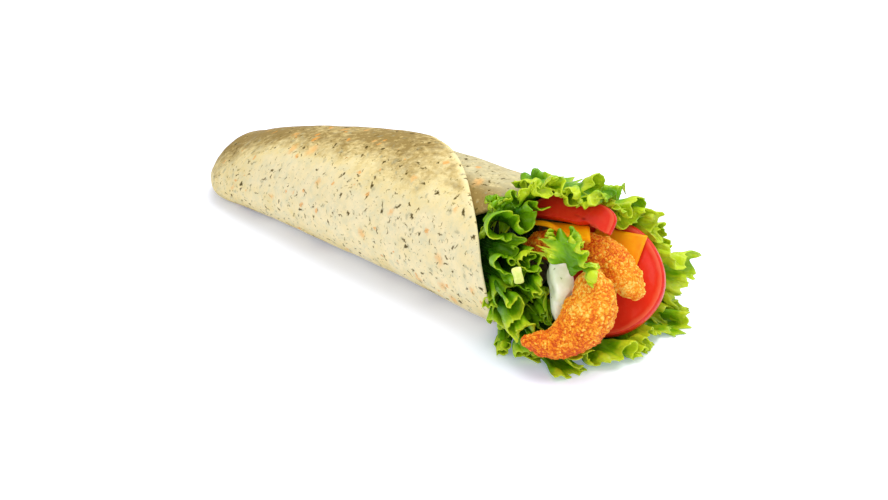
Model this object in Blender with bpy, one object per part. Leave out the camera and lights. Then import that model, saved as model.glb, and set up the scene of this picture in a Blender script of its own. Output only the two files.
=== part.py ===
"""A shrimp wrap: a herb tortilla rolled into a cone, with lettuce, breaded shrimps, tomato,
cheese and white sauce in its open end.

The roll lies along X on z = 0, closed end at -X, filled end at +X. Its shapes are worked
out in millimetres in the roll's own frame, where x runs along the roll from the closed end
and y = 0 is its middle, and the origin then goes to the middle of the footprint.
Angles round the roll start at the far side (+Y) and go over the top (90) to the near
side (180) and the table (270).
"""

import math

import bmesh
import bpy
import numpy as np

MM = 0.001
FOOTPRINT_MIDDLE = np.array([136.6, 3.7, 0.0])  # mm in the roll's frame

# The tortilla, 300 mm across before it was rolled
SHEET = 1.8
SINK = 0.7  # how far the round underside is pressed flat
STATIONS = (0, 12, 30, 60, 100, 140, 180, 260)  # mm along the roll
HALF_WIDTH = (10, 18.3, 22, 24.9, 28.2, 30.7, 31.5, 31.5)
HALF_HEIGHT = (6.3, 13, 18.5, 23.8, 28.2, 30.7, 31.5, 31.5)
AXIS_HEIGHT = HALF_HEIGHT[-1] - SINK  # middle of the open end above the table
FOLD_TILT = 20  # degrees, the closed end's fold is higher on the far side
FOLD_REACH = 70
TIP_LIFT = 2  # how far the closed end stands off the table
TIP_LIFT_REACH = 25
RIM = 212  # where the inner layer ends
RIM_DIP = 30  # how much further in it ends under the flap
RIM_DIP_ANGLE = 165
RIM_DIP_WIDTH = 38
FLAP_RIM = 213.5  # the flap's furthest point
FLAP_RIM_ANGLE = 195
FLAP_ROOT_ANGLE = 254  # where flap and inner layer become one sheet
FLAP_END_ANGLE = -15
FLAP_START = 3
FLAP_LIP = 2.6  # how far the flap stands off at its rim
FLAP_LIP_REACH = 70
PRESSED = 0.7  # how deep the flap is pressed into the layer under it
AROUND = 32  # points round the roll
ALONG = np.array([0, 1, 3, 6, 10, 15, 21, 29, 38, 48, 59, 70, 80, 90, 100]) / 100

GAP = 0.4  # between neighbouring pieces
CORE_GAP = 1.3  # round the packed lettuce inside the roll
CORE_SHOULDER = 186  # where its domed front starts
CORE_DOME = ((0.8, 8), (0.45, 15))  # share of the shoulder's width, and mm in front of it

# Lettuce leaves, modelled thicker than the real 0.4 so that each is a sound solid
LEAF = 0.9
TABLE_CLEARANCE = 0.55  # lowest middle of a leaf that lies on the table
MOUTH = 213.5  # past here the leaves spread

# The slices
TOMATO_RADIUS = 26
TOMATO_THICK = 5.2
TOMATO_MIDDLE = (244.3, 10.5, 26.2)
TOMATO_FACING = (0.3, -0.75, 0.58)
SEGMENT_MIDDLE = (235.4, -4.5, 56.8)  # middle of the cut edge of the upper slice
SEGMENT_FACING = (0.04, -0.72, 0.69)
SEGMENT_THICK = 4.4
SEGMENT_HALF = 21.6  # half its width
SEGMENT_POWERS = (2, 4.5)  # how square its inner and its outer end are
SEGMENT_DEPTH = 10.5  # what is left of that slice above its cut
SEGMENT_SAG = 4.2  # how far its cut edge bends down at the inner end
SEGMENT_RISE = 3.2  # how far it bends up over the corner of the cheese
SEGMENT_RISE_PLACE = (11.5, 5)  # where along it, and half how wide
SEGMENT_TAPER = 5  # how much of its round inner end the leaves may ignore
CHEESE_THICK = 2.2
CHEESE_DROOP = 6  # how far the free corner of the upper slice sags
CHEESE_DROOP_START = 6  # mm along its front edge from that corner
CHEESE_DROOP_REACH = (26, 12)  # where it ends, along the front edge and inwards

# The spoonful of sauce: its middle, the way it faces, and half its width, height and depth
SAUCE_MIDDLE = (242.4, -20, 32)
SAUCE_FACING = (0.62, -0.65, 0.43)
SAUCE_REACH = (6.4, 13, 5.5)
SAUCE_WAVES = 0.1

# Base colours
GREEN = (0.15, 0.38, 0.03)
RED = (0.75, 0.06, 0.02)
ORANGE = (0.85, 0.3, 0.03)
YELLOW = (0.92, 0.45, 0.03)
WHITE = (0.85, 0.87, 0.75)
CREAM = (0.85, 0.75, 0.5)


def smooth(value):
    """0 below 0, 1 above 1, and an S-shaped step between."""
    t = np.clip(value, 0, 1)
    return t * t * (3 - 2 * t)


def curve(at, stations, values):
    """Smooth curve through a few stations: cubic pieces with centred slopes."""
    s = np.asarray(stations, float)
    v = np.asarray(values, float)
    slope = np.gradient(v, s)
    at = np.clip(at, s[0], s[-1])
    k = np.clip(np.searchsorted(s, at) - 1, 0, len(s) - 2)
    span = s[k + 1] - s[k]
    t = (at - s[k]) / span
    start = (1 + 2 * t) * (1 - t) ** 2 * v[k] + t * (1 - t) ** 2 * span * slope[k]
    end = t * t * (3 - 2 * t) * v[k + 1] + t * t * (t - 1) * span * slope[k + 1]
    return start + end


def unit(vector):
    vector = np.asarray(vector, float)
    return vector / np.linalg.norm(vector, axis=-1, keepdims=True)


# Meshes


def add_object(name, points, faces, colour, roughness=0.5):
    """A named mesh object from points in the roll's frame."""
    mesh = bpy.data.meshes.new(name)
    placed = (np.asarray(points, float).reshape(-1, 3) - FOOTPRINT_MIDDLE) * MM
    mesh.from_pydata(placed.tolist(), [], faces)
    mesh.validate()
    mesh.shade_smooth()
    mesh.set_sharp_from_angle(angle=math.radians(50))
    mesh.materials.append(material(name, colour, roughness))
    item = bpy.data.objects.new(name, mesh)
    bpy.context.scene.collection.objects.link(item)
    return item


def material(name, colour, roughness):
    made = bpy.data.materials.new(name)
    made.use_nodes = True
    shader = made.node_tree.nodes["Principled BSDF"]
    shader.inputs["Base Color"].default_value = (*colour, 1)
    shader.inputs["Roughness"].default_value = roughness
    made.diffuse_color = (*colour, 1)
    return made


def tube(rings):
    """Faces that skin closed rings of equal length in turn, with a cap at both ends."""
    count, around = rings.shape[:2]
    faces = []
    for i in range(count - 1):
        for j in range(around):
            k = (j + 1) % around
            a, b = i * around, (i + 1) * around
            faces.append((a + j, a + k, b + k, b + j))
    faces.append(tuple(range(around - 1, -1, -1)))
    last = (count - 1) * around
    faces.append(tuple(range(last, last + around)))
    return faces


def sheet_faces(rows, columns):
    """Faces of a closed sheet from two grids of points, upper first, split alike."""
    upper = []
    for i in range(rows - 1):
        for j in range(columns - 1):
            a, b = i * columns + j, i * columns + j + 1
            c, d = (i + 1) * columns + j + 1, (i + 1) * columns + j
            upper += [(a, b, c), (a, c, d)]
    under = rows * columns
    faces = upper + [tuple(under + p for p in reversed(face)) for face in upper]
    border = [j for j in range(columns)]
    border += [i * columns + columns - 1 for i in range(1, rows)]
    border += [(rows - 1) * columns + j for j in range(columns - 2, -1, -1)]
    border += [i * columns for i in range(rows - 2, 0, -1)]
    for a, b in zip(border, border[1:] + border[:1]):
        faces += [(b, a, under + a), (b, under + a, under + b)]
    return faces


def normals(grid, closed=False):
    """Unit normals of a grid of points; closed grids wrap round in their second index."""
    down = np.gradient(grid, axis=0)
    if closed:
        across = np.roll(grid, -1, axis=1) - np.roll(grid, 1, axis=1)
    else:
        across = np.gradient(grid, axis=1)
    return unit(np.cross(across, down) + 1e-12)


def add_sheet(name, middle, thickness, colour):
    """A thin closed sheet round a grid of middle points."""
    half = normals(middle) * thickness / 2
    points = np.concatenate([(middle + half).reshape(-1, 3), (middle - half).reshape(-1, 3)])
    return add_object(name, points, sheet_faces(*middle.shape[:2]), colour)


def keep_largest(mesh):
    """Keeps the largest island of faces: sealed hollows become solid and scraps go."""
    shape = bmesh.new()
    shape.from_mesh(mesh)
    left = set(shape.faces)
    islands = []
    while left:
        edge = {left.pop()}
        island = set(edge)
        while edge:
            edge = {f for face in edge for e in face.edges for f in e.link_faces} - island
            island |= edge
        left -= island
        islands.append(list(island))
    islands.sort(key=len)
    loose = [face for island in islands[:-1] for face in island]
    bmesh.ops.delete(shape, geom=loose, context="FACES")
    shape.to_mesh(mesh)
    shape.free()


def join(target, others, solver="EXACT"):
    """Unions a list of objects into the target, applies it and removes them."""
    group = bpy.data.collections.new(target.name + " parts")
    bpy.context.scene.collection.children.link(group)
    for item in others:
        bpy.context.scene.collection.objects.unlink(item)
        group.objects.link(item)
    union = target.modifiers.new("Union", "BOOLEAN")
    union.operation = "UNION"
    union.solver = solver
    union.operand_type = "COLLECTION"
    union.collection = group
    graph = bpy.context.evaluated_depsgraph_get()
    mesh = bpy.data.meshes.new_from_object(target.evaluated_get(graph))
    keep_largest(mesh)
    target.modifiers.clear()
    old = target.data
    target.data = mesh
    bpy.data.meshes.remove(old)
    for item in others:
        bpy.data.objects.remove(item)
    bpy.data.collections.remove(group)
    return target


# The roll


def roll_surface(x, angle):
    """Outer face of the inner layer at x mm and angle degrees: tilted ellipses that turn
    into circles, each one standing on the table and pressed flat under it."""
    wide = curve(x, STATIONS, HALF_WIDTH)
    high = curve(x, STATIONS, HALF_HEIGHT)
    tilt = math.radians(FOLD_TILT) * (1 - smooth(x / FOLD_REACH))
    across = wide * np.cos(np.radians(angle))
    up = high * np.sin(np.radians(angle))
    y = across * np.cos(tilt) - up * np.sin(tilt)
    z = across * np.sin(tilt) + up * np.cos(tilt)
    middle = np.hypot(wide * np.sin(tilt), high * np.cos(tilt)) - SINK
    middle = middle + TIP_LIFT * (1 - smooth(x / TIP_LIFT_REACH))
    return np.stack([x + 0 * y, y, np.maximum(z + middle, 0)], -1)


def inner_rim(angle):
    """x of the inner layer's cut edge, which is further in under the flap."""
    away = (angle - RIM_DIP_ANGLE) / RIM_DIP_WIDTH
    return RIM - RIM_DIP * np.exp(-(away**2))


def flap_rim(angle):
    """x of the flap's cut edge: an arc down the front, then a slant round the back."""
    down = np.maximum(FLAP_RIM_ANGLE - angle, 0)
    past = np.maximum(angle - FLAP_RIM_ANGLE, 0)
    arc = 0.0046 * np.minimum(down, 113) ** 2 + 1.3 * np.maximum(down - 113, 0)
    return FLAP_RIM - arc - 0.004 * past**2


def flap_standoff(x, angle):
    """Gap between the flap and the layer under it: pressed in at its root and at the
    closed end, standing off towards its rim over the front and the top."""
    lip = smooth(1 - (flap_rim(angle) - x) / FLAP_LIP_REACH)
    front = smooth((angle - 20) / 50) * smooth((250 - angle) / 25)
    rooted = 1 - smooth((250 - angle) / 22) * smooth((x - 4) / 12)
    return FLAP_LIP * lip * front - PRESSED - SHEET * rooted


def roll_rings(depth):
    """Rings of the inner layer, as deep under its outer face as asked."""
    around = np.arange(AROUND) * 360 / AROUND
    outer = roll_surface(ALONG[:, None] * inner_rim(around), around)
    return outer - normals(outer, closed=True) * depth


def make_tortilla():
    """The inner layer as a cup with a wall, and the flap that laps over its front."""
    rings = np.concatenate([roll_rings(0), roll_rings(SHEET)[2::2][::-1]])
    cup = add_object("tortilla", rings, tube(rings), CREAM)
    angle = np.linspace(FLAP_ROOT_ANGLE, FLAP_END_ANGLE, 27)[None, :]
    share = np.array([0, 0.04, 0.1, 0.2, 0.34, 0.5, 0.65, 0.79, 0.9, 1])[:, None]
    x = FLAP_START + share * (flap_rim(angle) - FLAP_START)
    base = roll_surface(x, angle)
    out = -normals(base)
    gap = flap_standoff(x, angle)[..., None]
    points = np.array([base + out * gap, base + out * (gap + SHEET)])
    points[..., 2] = np.maximum(points[..., 2], 0.25)
    flap = add_object("flap", points, sheet_faces(*x.shape), CREAM)
    return join(cup, [flap])


def make_core():
    """Lettuce packed inside the roll, with a domed front."""
    side = roll_rings(SHEET + CORE_GAP)[2:13:2]
    tip = side[0].mean(axis=0)
    side[0] = tip + (side[0] - tip) * 0.8 + [1.5, 0, 0]
    around = np.arange(AROUND) * 360 / AROUND
    last = roll_surface(CORE_SHOULDER + 0 * around, around)
    middle = last.mean(axis=0)
    last = middle + (last - middle) * (1 - (SHEET + CORE_GAP) / HALF_WIDTH[-1])
    dome = [middle + (last - middle) * share + [ahead, 0, 0] for share, ahead in CORE_DOME]
    rings = np.concatenate([side, [last], dome])
    return add_object("lettuce", rings, tube(rings), GREEN)


# Breaded shrimps, tomato, cheese and sauce


def frame_of(facing):
    """Two axes across the facing direction: level and to the right, then up."""
    facing = unit(facing)
    level = unit(np.cross([0, 0, 1.0], facing))
    return level, np.cross(facing, level), facing


SHRIMPS = {
    # a point of its plane, the way it faces, and its centre line from tail to head as
    # (level, up, radius) in that plane
    "shrimp_front": (
        (246.5, -31, 31.7), (0.6, -0.67, 0.43),
        ((-11.3, -17, 1.5), (-5.2, -17.6, 4.6), (2.1, -18, 6.8), (9.1, -14.9, 8.9),
         (14.4, -9.7, 11), (17.9, -3.5, 11.5), (18.7, 2.6, 9.9), (16.8, 8.2, 7.6),
         (14, 11.8, 4)),
    ),
    "shrimp_back": (
        (240.3, -16.1, 23.2), (0.45, -0.75, 0.48),
        ((1, 26.5, 3), (6, 26.8, 5.5), (12.6, 24.2, 7.8), (19, 20.2, 8.6), (23.9, 15.8, 8.3),
         (28.6, 11.7, 7.2), (31.8, 7.6, 4.8), (33.2, 4.2, 1.8)),
    ),
    "shrimp_inner": (
        (226, -9, 30), (0.62, -0.65, 0.43),
        ((-8.5, 6, 2.5), (-6, 10, 5), (-1, 12, 6.6), (5, 10.5, 6.6), (9.5, 5, 5), (10, 1.5, 2.5)),
    ),
}


def shrimp_path(name, count):
    """Points and radii along a curled shrimp, which gets thin where a slice presses it."""
    middle, facing, line = SHRIMPS[name]
    level, up, _ = frame_of(facing)
    line = np.array(line, float)
    stations = np.linspace(0, 1, len(line))
    at = np.linspace(0, 1, count)
    across, rise, radius = (curve(at, stations, line[:, k]) for k in range(3))
    points = np.array(middle) + across[:, None] * level + rise[:, None] * up
    for pressing in (*CHEESE, "tomato_right", "tomato_top"):
        radius = np.minimum(radius, np.maximum(to_filling(points, pressing) - GAP - 0.4, 1.2))
    return points, radius


def crumb_bumps(points, size, depth):
    """Crust relief: three crossing waves of about the size of a crumb cluster."""
    p = points / size
    wave = np.sin(p[..., 0] * 5.1 + 1.3 * np.sin(p[..., 1] * 3.7))
    wave = wave * np.sin(p[..., 1] * 4.7 + 1.1 * np.sin(p[..., 2] * 4.1))
    wave = wave + 0.6 * np.sin(p[..., 2] * 6.3 + 2 * np.sin(p[..., 0] * 3.1))
    return depth * wave[..., None]


def make_shrimp(name):
    around = 14
    path, radius = shrimp_path(name, 17)
    along = unit(np.gradient(path, axis=0))
    facing = unit(SHRIMPS[name][1])
    side = np.cross(facing, along)
    turn = np.radians(np.arange(around) * 360 / around)[:, None]
    out = np.cos(turn) * side[:, None] + np.sin(turn) * 0.92 * facing
    rings = path[:, None] + out * radius[:, None, None]
    rings = rings + out * crumb_bumps(rings, 7, 0.35)
    return add_object(name, rings, tube(rings), ORANGE)


def slab(outline, middle, level, up, facing, thick, round_off):
    """Rings of a slice: its outline in the plane of the two axes, with rounded rims."""
    centre = outline.mean(axis=0)
    rings = []
    for height, inset in ((-0.5, 1), (-0.3, 0.25), (0.3, 0.25), (0.5, 1)):
        size = np.linalg.norm(outline - centre, axis=1, keepdims=True)
        flat = centre + (outline - centre) * (1 - inset * round_off / size)
        rings.append(np.array(middle) + flat[:, :1] * level + flat[:, 1:] * up + height * thick * facing)
    return np.array(rings)


def make_tomato_right():
    """A whole slice, not quite round."""
    level, up, facing = frame_of(TOMATO_FACING)
    turn = np.radians(np.arange(40) * 360 / 40)
    size = TOMATO_RADIUS * (1 + 0.012 * np.cos(3 * turn + 0.6) + 0.008 * np.cos(5 * turn))
    outline = np.stack([size * np.cos(turn), size * np.sin(turn)], -1)
    rings = slab(outline, TOMATO_MIDDLE, level, up, facing, TOMATO_THICK, 1.1)
    return add_object("tomato_right", rings, tube(rings), RED)


def segment_outline(turn):
    """A superellipse above a cut edge that sags at the inner end and rises over the
    corner of the cheese."""
    c, s = np.cos(turn), np.sin(turn)
    power = np.where(c < 0, *SEGMENT_POWERS)
    size = (np.abs(c) ** power + np.abs(s) ** power) ** (-1 / power)
    across = SEGMENT_HALF * size * c
    sag = SEGMENT_SAG * (np.maximum(-across, 0) / SEGMENT_HALF) ** 1.5
    place, wide = SEGMENT_RISE_PLACE
    rise = SEGMENT_RISE * np.exp(-(((across - place) / wide) ** 2))
    above = np.where(s > 0, SEGMENT_DEPTH * size * s, size * s)
    return np.stack([across, above + (rise - sag) * (1 - np.maximum(s, 0))], -1)


def make_tomato_top():
    """The end of a slice, cut straight along its lower edge."""
    level, up, facing = frame_of(SEGMENT_FACING)
    turn = np.radians(np.arange(44) * 360 / 44)
    outline = segment_outline(turn)
    rings = slab(outline, SEGMENT_MIDDLE, level, up, facing, SEGMENT_THICK, 0.8)
    return add_object("tomato_top", rings, tube(rings), RED)


CHEESE = {
    # a corner, its two edge directions and their lengths
    "cheese_right": ((255, 24, 45.8), (-0.93, -0.36, 0.016), (0.09, -0.6, -0.79), 23, 18),
    "cheese_top": ((250.9, -9.5, 59.5), (-0.95, -0.058, -0.196), (-0.62, 0.66, -0.42), 37, 18),
}


def cheese_droop(name, a, b):
    """How far a slice sags near its free corner, at a and b mm from it."""
    if name != "cheese_top":
        return 0 * a
    long, short = CHEESE_DROOP_REACH
    near = smooth((long - a) / (long - CHEESE_DROOP_START)) * smooth(1 - np.maximum(b, 0) / short)
    return CHEESE_DROOP * near


def make_cheese(name):
    corner, first, second, long, short = CHEESE[name]
    a = np.linspace(0, long, 8)[:, None, None]
    b = np.linspace(0, short, 6)[None, :, None]
    grid = np.array(corner) + a * unit(first) + b * unit(second)
    grid = grid - [0, 0, 1] * cheese_droop(name, a, b)
    return add_sheet(name, grid, CHEESE_THICK, YELLOW)


def make_sauce():
    """A spoonful of thick sauce: an uneven ball pressed between its neighbours."""
    turn = np.radians(np.arange(18) * 360 / 18)[None, :, None]
    lift = np.radians(np.linspace(-84, 84, 11))[:, None, None]
    level, up, facing = frame_of(SAUCE_FACING)
    wide, high, deep = SAUCE_REACH
    ball = np.cos(turn) * level * wide - np.sin(turn) * facing * deep
    ball = np.cos(lift) * ball + np.sin(lift) * up * high
    points = np.array(SAUCE_MIDDLE) + ball
    points = points + ball * SAUCE_WAVES * np.sin(points[..., 2:] * 0.5 + points[..., :1] * 0.6)
    points = clear_of_fillings(points, 0.6, tuple(SHRIMPS))
    return add_object("sauce", points, tube(points), WHITE)


# Distances that keep leaves and sauce off what they lie against


def to_chain(points, name):
    """Distance from points to a shrimp, as a chain of balls joined by cones."""
    path, radius = shrimp_path(name, 17)
    best = np.full(points.shape[:-1], 1e9)
    for a, b, ra, rb in zip(path[:-1], path[1:], radius[:-1], radius[1:]):
        along = b - a
        t = np.clip(((points - a) @ along) / (along @ along), 0, 1)
        away = np.linalg.norm(points - a - t[..., None] * along, axis=-1)
        best = np.minimum(best, away - ra - t * (rb - ra) - 0.5)
    return best


def to_disc(points, middle, facing, radius, thick):
    facing = unit(facing)
    off = points - np.array(middle)
    high = np.abs(off @ facing) - thick / 2
    wide = np.linalg.norm(off - (off @ facing)[..., None] * facing, axis=-1) - radius
    outside = np.hypot(np.maximum(high, 0), np.maximum(wide, 0))
    return outside + np.minimum(np.maximum(high, wide), 0)


def to_box(points, middle, axes, size):
    inside = np.abs((points - middle) @ np.array(axes).T) - np.array(size) / 2
    return np.linalg.norm(np.maximum(inside, 0), axis=-1) + np.minimum(inside.max(axis=-1), 0)


def to_slice(points, name):
    """Distance to a cheese slice, as a box once its droop is undone."""
    corner, first, second, long, short = CHEESE[name]
    first, second = unit(first), unit(second)
    face = unit(np.cross(first, second))
    place = (points - np.array(corner)) @ np.linalg.inv([first, second, face])
    flat = points + [0, 0, 1] * cheese_droop(name, place[..., :1], place[..., 1:2])
    middle = np.array(corner) + first * long / 2 + second * short / 2
    lean = abs(first @ second)
    size = (long + lean * short, short * math.sqrt(1 - lean**2), CHEESE_THICK)
    return to_box(flat, middle, (first, np.cross(face, first), face), size)


def to_sauce(points):
    """Distance to the sauce's plain ball, never more than the real distance."""
    off = (points - np.array(SAUCE_MIDDLE)) @ np.array(frame_of(SAUCE_FACING)).T
    return (np.linalg.norm(off / np.array(SAUCE_REACH), axis=-1) - 1 - SAUCE_WAVES) * min(SAUCE_REACH)


def to_filling(points, name):
    if name == "sauce":
        return to_sauce(points)
    if name in SHRIMPS:
        return to_chain(points, name)
    if name in CHEESE:
        return to_slice(points, name)
    if name == "tomato_right":
        return to_disc(points, TOMATO_MIDDLE, TOMATO_FACING, TOMATO_RADIUS * 1.02, TOMATO_THICK)
    axes = frame_of(SEGMENT_FACING)
    middle = np.array(SEGMENT_MIDDLE) + axes[1] * (SEGMENT_DEPTH - SEGMENT_SAG / 2) / 2
    middle = middle + axes[0] * SEGMENT_TAPER / 2
    size = (2 * SEGMENT_HALF - SEGMENT_TAPER, SEGMENT_DEPTH + SEGMENT_SAG / 2, SEGMENT_THICK)
    return to_box(points, middle, axes, size)


FILLINGS = ("tomato_right", "tomato_top", "cheese_right", "cheese_top",
            "shrimp_front", "shrimp_back", "shrimp_inner", "sauce")


def clear_of_fillings(points, margin, names=FILLINGS):
    """Moves points straight out of each filling until they clear it by the margin."""
    points = points.copy()
    for _ in range(3):
        for name in names:
            near = to_filling(points, name)
            step = 0.05
            slope = np.stack([to_filling(points + step * axis, name) - near
                              for axis in np.eye(3)], -1) / step
            slope = slope / np.maximum(np.linalg.norm(slope, axis=-1, keepdims=True), 1e-6)
            points = points + slope * np.maximum(margin - near, 0)[..., None]
    return points


# Lettuce


def ruffle(u, waves, swing, seed):
    """Offsets along and across a leaf's margin, as shares of its length, for a meander: the
    margin's direction swings as a sine of its length, faster in some places than in others.
    u runs 0 to 1 along the margin; swing is in radians, one for each row of the leaf."""
    drawn = np.random.default_rng(seed).uniform(0, 2 * np.pi, 4)
    fine = np.linspace(0, 1, 600)
    speed = 1 + 0.3 * np.sin(2 * np.pi * 1.7 * fine + drawn[0])
    speed = speed + 0.2 * np.sin(2 * np.pi * 4.3 * fine + drawn[1])
    phase = 2 * np.pi * waves * np.cumsum(speed) / speed.sum() + drawn[3]
    wide = swing[:, None] * (1 + 0.2 * np.sin(2 * np.pi * 2.3 * fine + drawn[2]))
    turn = wide * np.sin(phase)
    along = np.cumsum(np.cos(turn), axis=1)
    across = np.cumsum(np.sin(turn), axis=1) / along[:, -1:]
    along = along / along[:, -1:] - fine
    across = across - fine * across[:, -1:]
    across = across - across.mean(axis=1, keepdims=True)
    shift = [np.interp(u, fine, row) for row in along]
    lift = [np.interp(u, fine, row) for row in across]
    return np.array(shift), np.array(lift)


def ring_base(u, v, leaf):
    """A leaf's smooth middle: a flaring cone round the roll's axis that spreads on the
    table where it would go below it."""
    first, last = leaf["angles"]
    angle = np.radians(first + (last - first) * u)
    end = curve(u, np.linspace(0, 1, len(leaf["ends"])), leaf["ends"])
    outer = curve(u, np.linspace(0, 1, len(leaf["outer"])), leaf["outer"])
    tips = 1 + leaf["lobes"] * np.sin(2 * np.pi * (2.2 * u + leaf["seed"] * 0.37))
    x = leaf["start"] + (end - leaf["start"]) * v * tips
    past = np.maximum(x - leaf["mouth"], 0) / (end - leaf["mouth"])
    r = leaf["inner"] + (outer - leaf["inner"]) * past ** leaf["flare"]
    z = AXIS_HEIGHT + r * np.sin(angle)
    z = leaf["floor"] + 1.5 * np.logaddexp(0, (z - leaf["floor"]) / 1.5)
    return np.stack([x + 0 * v, r * np.cos(angle), z], -1)


def patch_base(u, v, leaf):
    """A leaf's smooth middle between four corners, with a bow across it."""
    a, b, c, d = (np.array(corner, float) for corner in leaf["corners"])
    u, v = u[..., None], v[..., None]
    flat = (1 - v) * ((1 - u) * a + u * b) + v * ((1 - u) * d + u * c)
    return flat + np.array(leaf["bow"]) * 4 * u * (1 - u) * v


def leaf_grid(leaf, columns, rows):
    """Middle surface of a ruffled leaf: the smooth middle, moved along and across its
    margin by the meander, whose swing grows from nothing to full at the margin."""
    middle = patch_base if "corners" in leaf else ring_base
    u = np.linspace(0, 1, columns)
    v = np.linspace(0, 1, rows) ** 0.75
    strength = leaf["swing"] * smooth((v - leaf["calm"]) / (1 - leaf["calm"]))
    shift, lift = ruffle(u, leaf["waves"], strength, leaf["seed"])
    even_u = u[None] + 0 * shift
    even_v = v[:, None] + 0 * shift
    even = middle(even_u, even_v, leaf)
    length = np.linalg.norm(np.diff(even, axis=1), axis=-1).sum(axis=1)
    grid = middle(even_u + shift, even_v, leaf)
    grid = grid + normals(even) * lift[..., None] * length[:, None, None]
    grid = clear_of_fillings(grid, LEAF / 2 + leaf["clear"])
    grid[..., 2] = np.maximum(grid[..., 2], leaf["lowest"])
    return grid


def ring_leaf(angles, start, ends, inner, outer, waves, swing, seed, flare=1.0, calm=0.4, lobes=0.05,
              floor=1.0, clear=0.9, lowest=TABLE_CLEARANCE, mouth=MOUTH):
    """A leaf that stands round the open end between two angles. Its margin's x (ends) and
    its distance from the roll's axis (outer) are given at even steps between them."""
    return dict(angles=angles, start=start, ends=ends, inner=inner, outer=outer, waves=waves,
                swing=swing, seed=seed, flare=flare, calm=calm, lobes=lobes, floor=floor, clear=clear,
                lowest=lowest, mouth=mouth)


def patch_leaf(corners, bow, waves, swing, seed, calm=0.3, clear=0.9, lowest=TABLE_CLEARANCE):
    """A piece of leaf between four corners: two at its base, then two at its margin."""
    return dict(corners=corners, bow=bow, waves=waves, swing=swing, seed=seed, calm=calm, clear=clear,
                lowest=lowest)


LEAVES = {
    "leaf_top": ring_leaf((121, 42), 204, (225, 231, 242, 249, 248), 27.6, (45, 44, 41, 40, 39),
                          4.6, 1.35, 3, flare=0.75, clear=1.5),
    "leaf_far": ring_leaf((39, -34), 204, (248, 252, 257, 261, 262), 27.6, (39, 40.5, 45, 47, 45),
                          4.4, 1.3, 5),
    "leaf_bottom": ring_leaf((-42, -132), 204, (261, 269, 270, 268, 258), 27.5, (50, 47, 38, 50, 48),
                             5.6, 1.25, 8, floor=3, clear=1.1),
    "leaf_middle": patch_leaf(
        ((239, -26.5, 50), (237.7, -20.5, 58.6), (247, -14, 60.5), (262, -18, 43)),
        (5, -5, 3), 1.4, 0.8, 21, clear=1.4
    ),
}
BUNCH = (
    ring_leaf((127, 222), 174, (221, 228), 25.5, (33, 36), 4.6, 1.35, 11, calm=0.35, clear=1.5,
              mouth=205),
    ring_leaf((142, 226), 174, (229, 233), 18, (26, 29), 3.6, 1.3, 14, calm=0.3, clear=2.1,
              lowest=1.1, mouth=204),
    ring_leaf((150, 214), 182, (239, 245), 12, (25, 28), 3, 1.3, 23, calm=0.35, clear=2.4,
              mouth=208),
    ring_leaf((180, 226), 172, (235, 244), 28, (39, 44), 3, 1.3, 17, calm=0.35, floor=4,
              clear=2.7, lowest=0.8),
)


def make_leaves():
    for name, made in LEAVES.items():
        columns = 20 if "corners" in made else 34
        add_sheet(name, leaf_grid(made, columns, 8), LEAF, GREEN)


def make_bunch(core):
    sheets = [add_sheet("bunch", leaf_grid(made, 28, 7), LEAF, GREEN) for made in BUNCH]
    return join(core, sheets, "MANIFOLD")


def main():
    for old in list(bpy.data.objects):
        bpy.data.objects.remove(old)
    make_tortilla()
    make_bunch(make_core())
    make_leaves()
    for name in SHRIMPS:
        make_shrimp(name)
    make_tomato_right()
    make_tomato_top()
    for name in CHEESE:
        make_cheese(name)
    make_sauce()


main()
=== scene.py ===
"""The looks of a shrimp wrap: a baked herb tortilla round curly lettuce, breaded shrimps, tomato,
cheese and white herb sauce.

Shapes are worked out in millimetres in the roll's own frame: x runs along the roll from its
closed end, y = 0 is its middle and z = 0 the table. Angles round the roll start at the far
side (+Y) and go over the top (90) to the near side (180) and the table (270).
"""

import math

import bpy
import numpy as np
from bpy.props import FloatProperty, FloatVectorProperty, PointerProperty
from mathutils import Matrix


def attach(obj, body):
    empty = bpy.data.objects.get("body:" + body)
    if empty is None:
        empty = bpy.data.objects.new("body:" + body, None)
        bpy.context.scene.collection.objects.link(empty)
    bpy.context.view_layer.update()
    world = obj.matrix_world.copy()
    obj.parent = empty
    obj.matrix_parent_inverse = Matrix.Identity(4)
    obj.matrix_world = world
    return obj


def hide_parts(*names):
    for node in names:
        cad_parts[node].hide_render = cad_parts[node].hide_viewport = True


bl_info = {
    "name": "Shrimp wrap",
    "version": (1, 0, 0),
    "blender": (4, 5, 0),
    "location": "3D View > Sidebar > Shrimp wrap",
    "description": "Dresses a rolled shrimp wrap with its baked, fried and fresh surfaces",
    "category": "Object",
}

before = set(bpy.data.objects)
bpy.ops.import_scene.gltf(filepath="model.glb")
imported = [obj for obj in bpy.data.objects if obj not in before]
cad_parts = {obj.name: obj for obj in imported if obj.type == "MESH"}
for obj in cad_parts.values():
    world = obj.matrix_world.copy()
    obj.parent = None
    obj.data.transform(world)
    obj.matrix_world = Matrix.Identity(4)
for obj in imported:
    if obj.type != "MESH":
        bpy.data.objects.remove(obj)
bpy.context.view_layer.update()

MM = 0.001
FOOTPRINT_MIDDLE = np.array([136.6, 3.7, 0.0])

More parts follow.
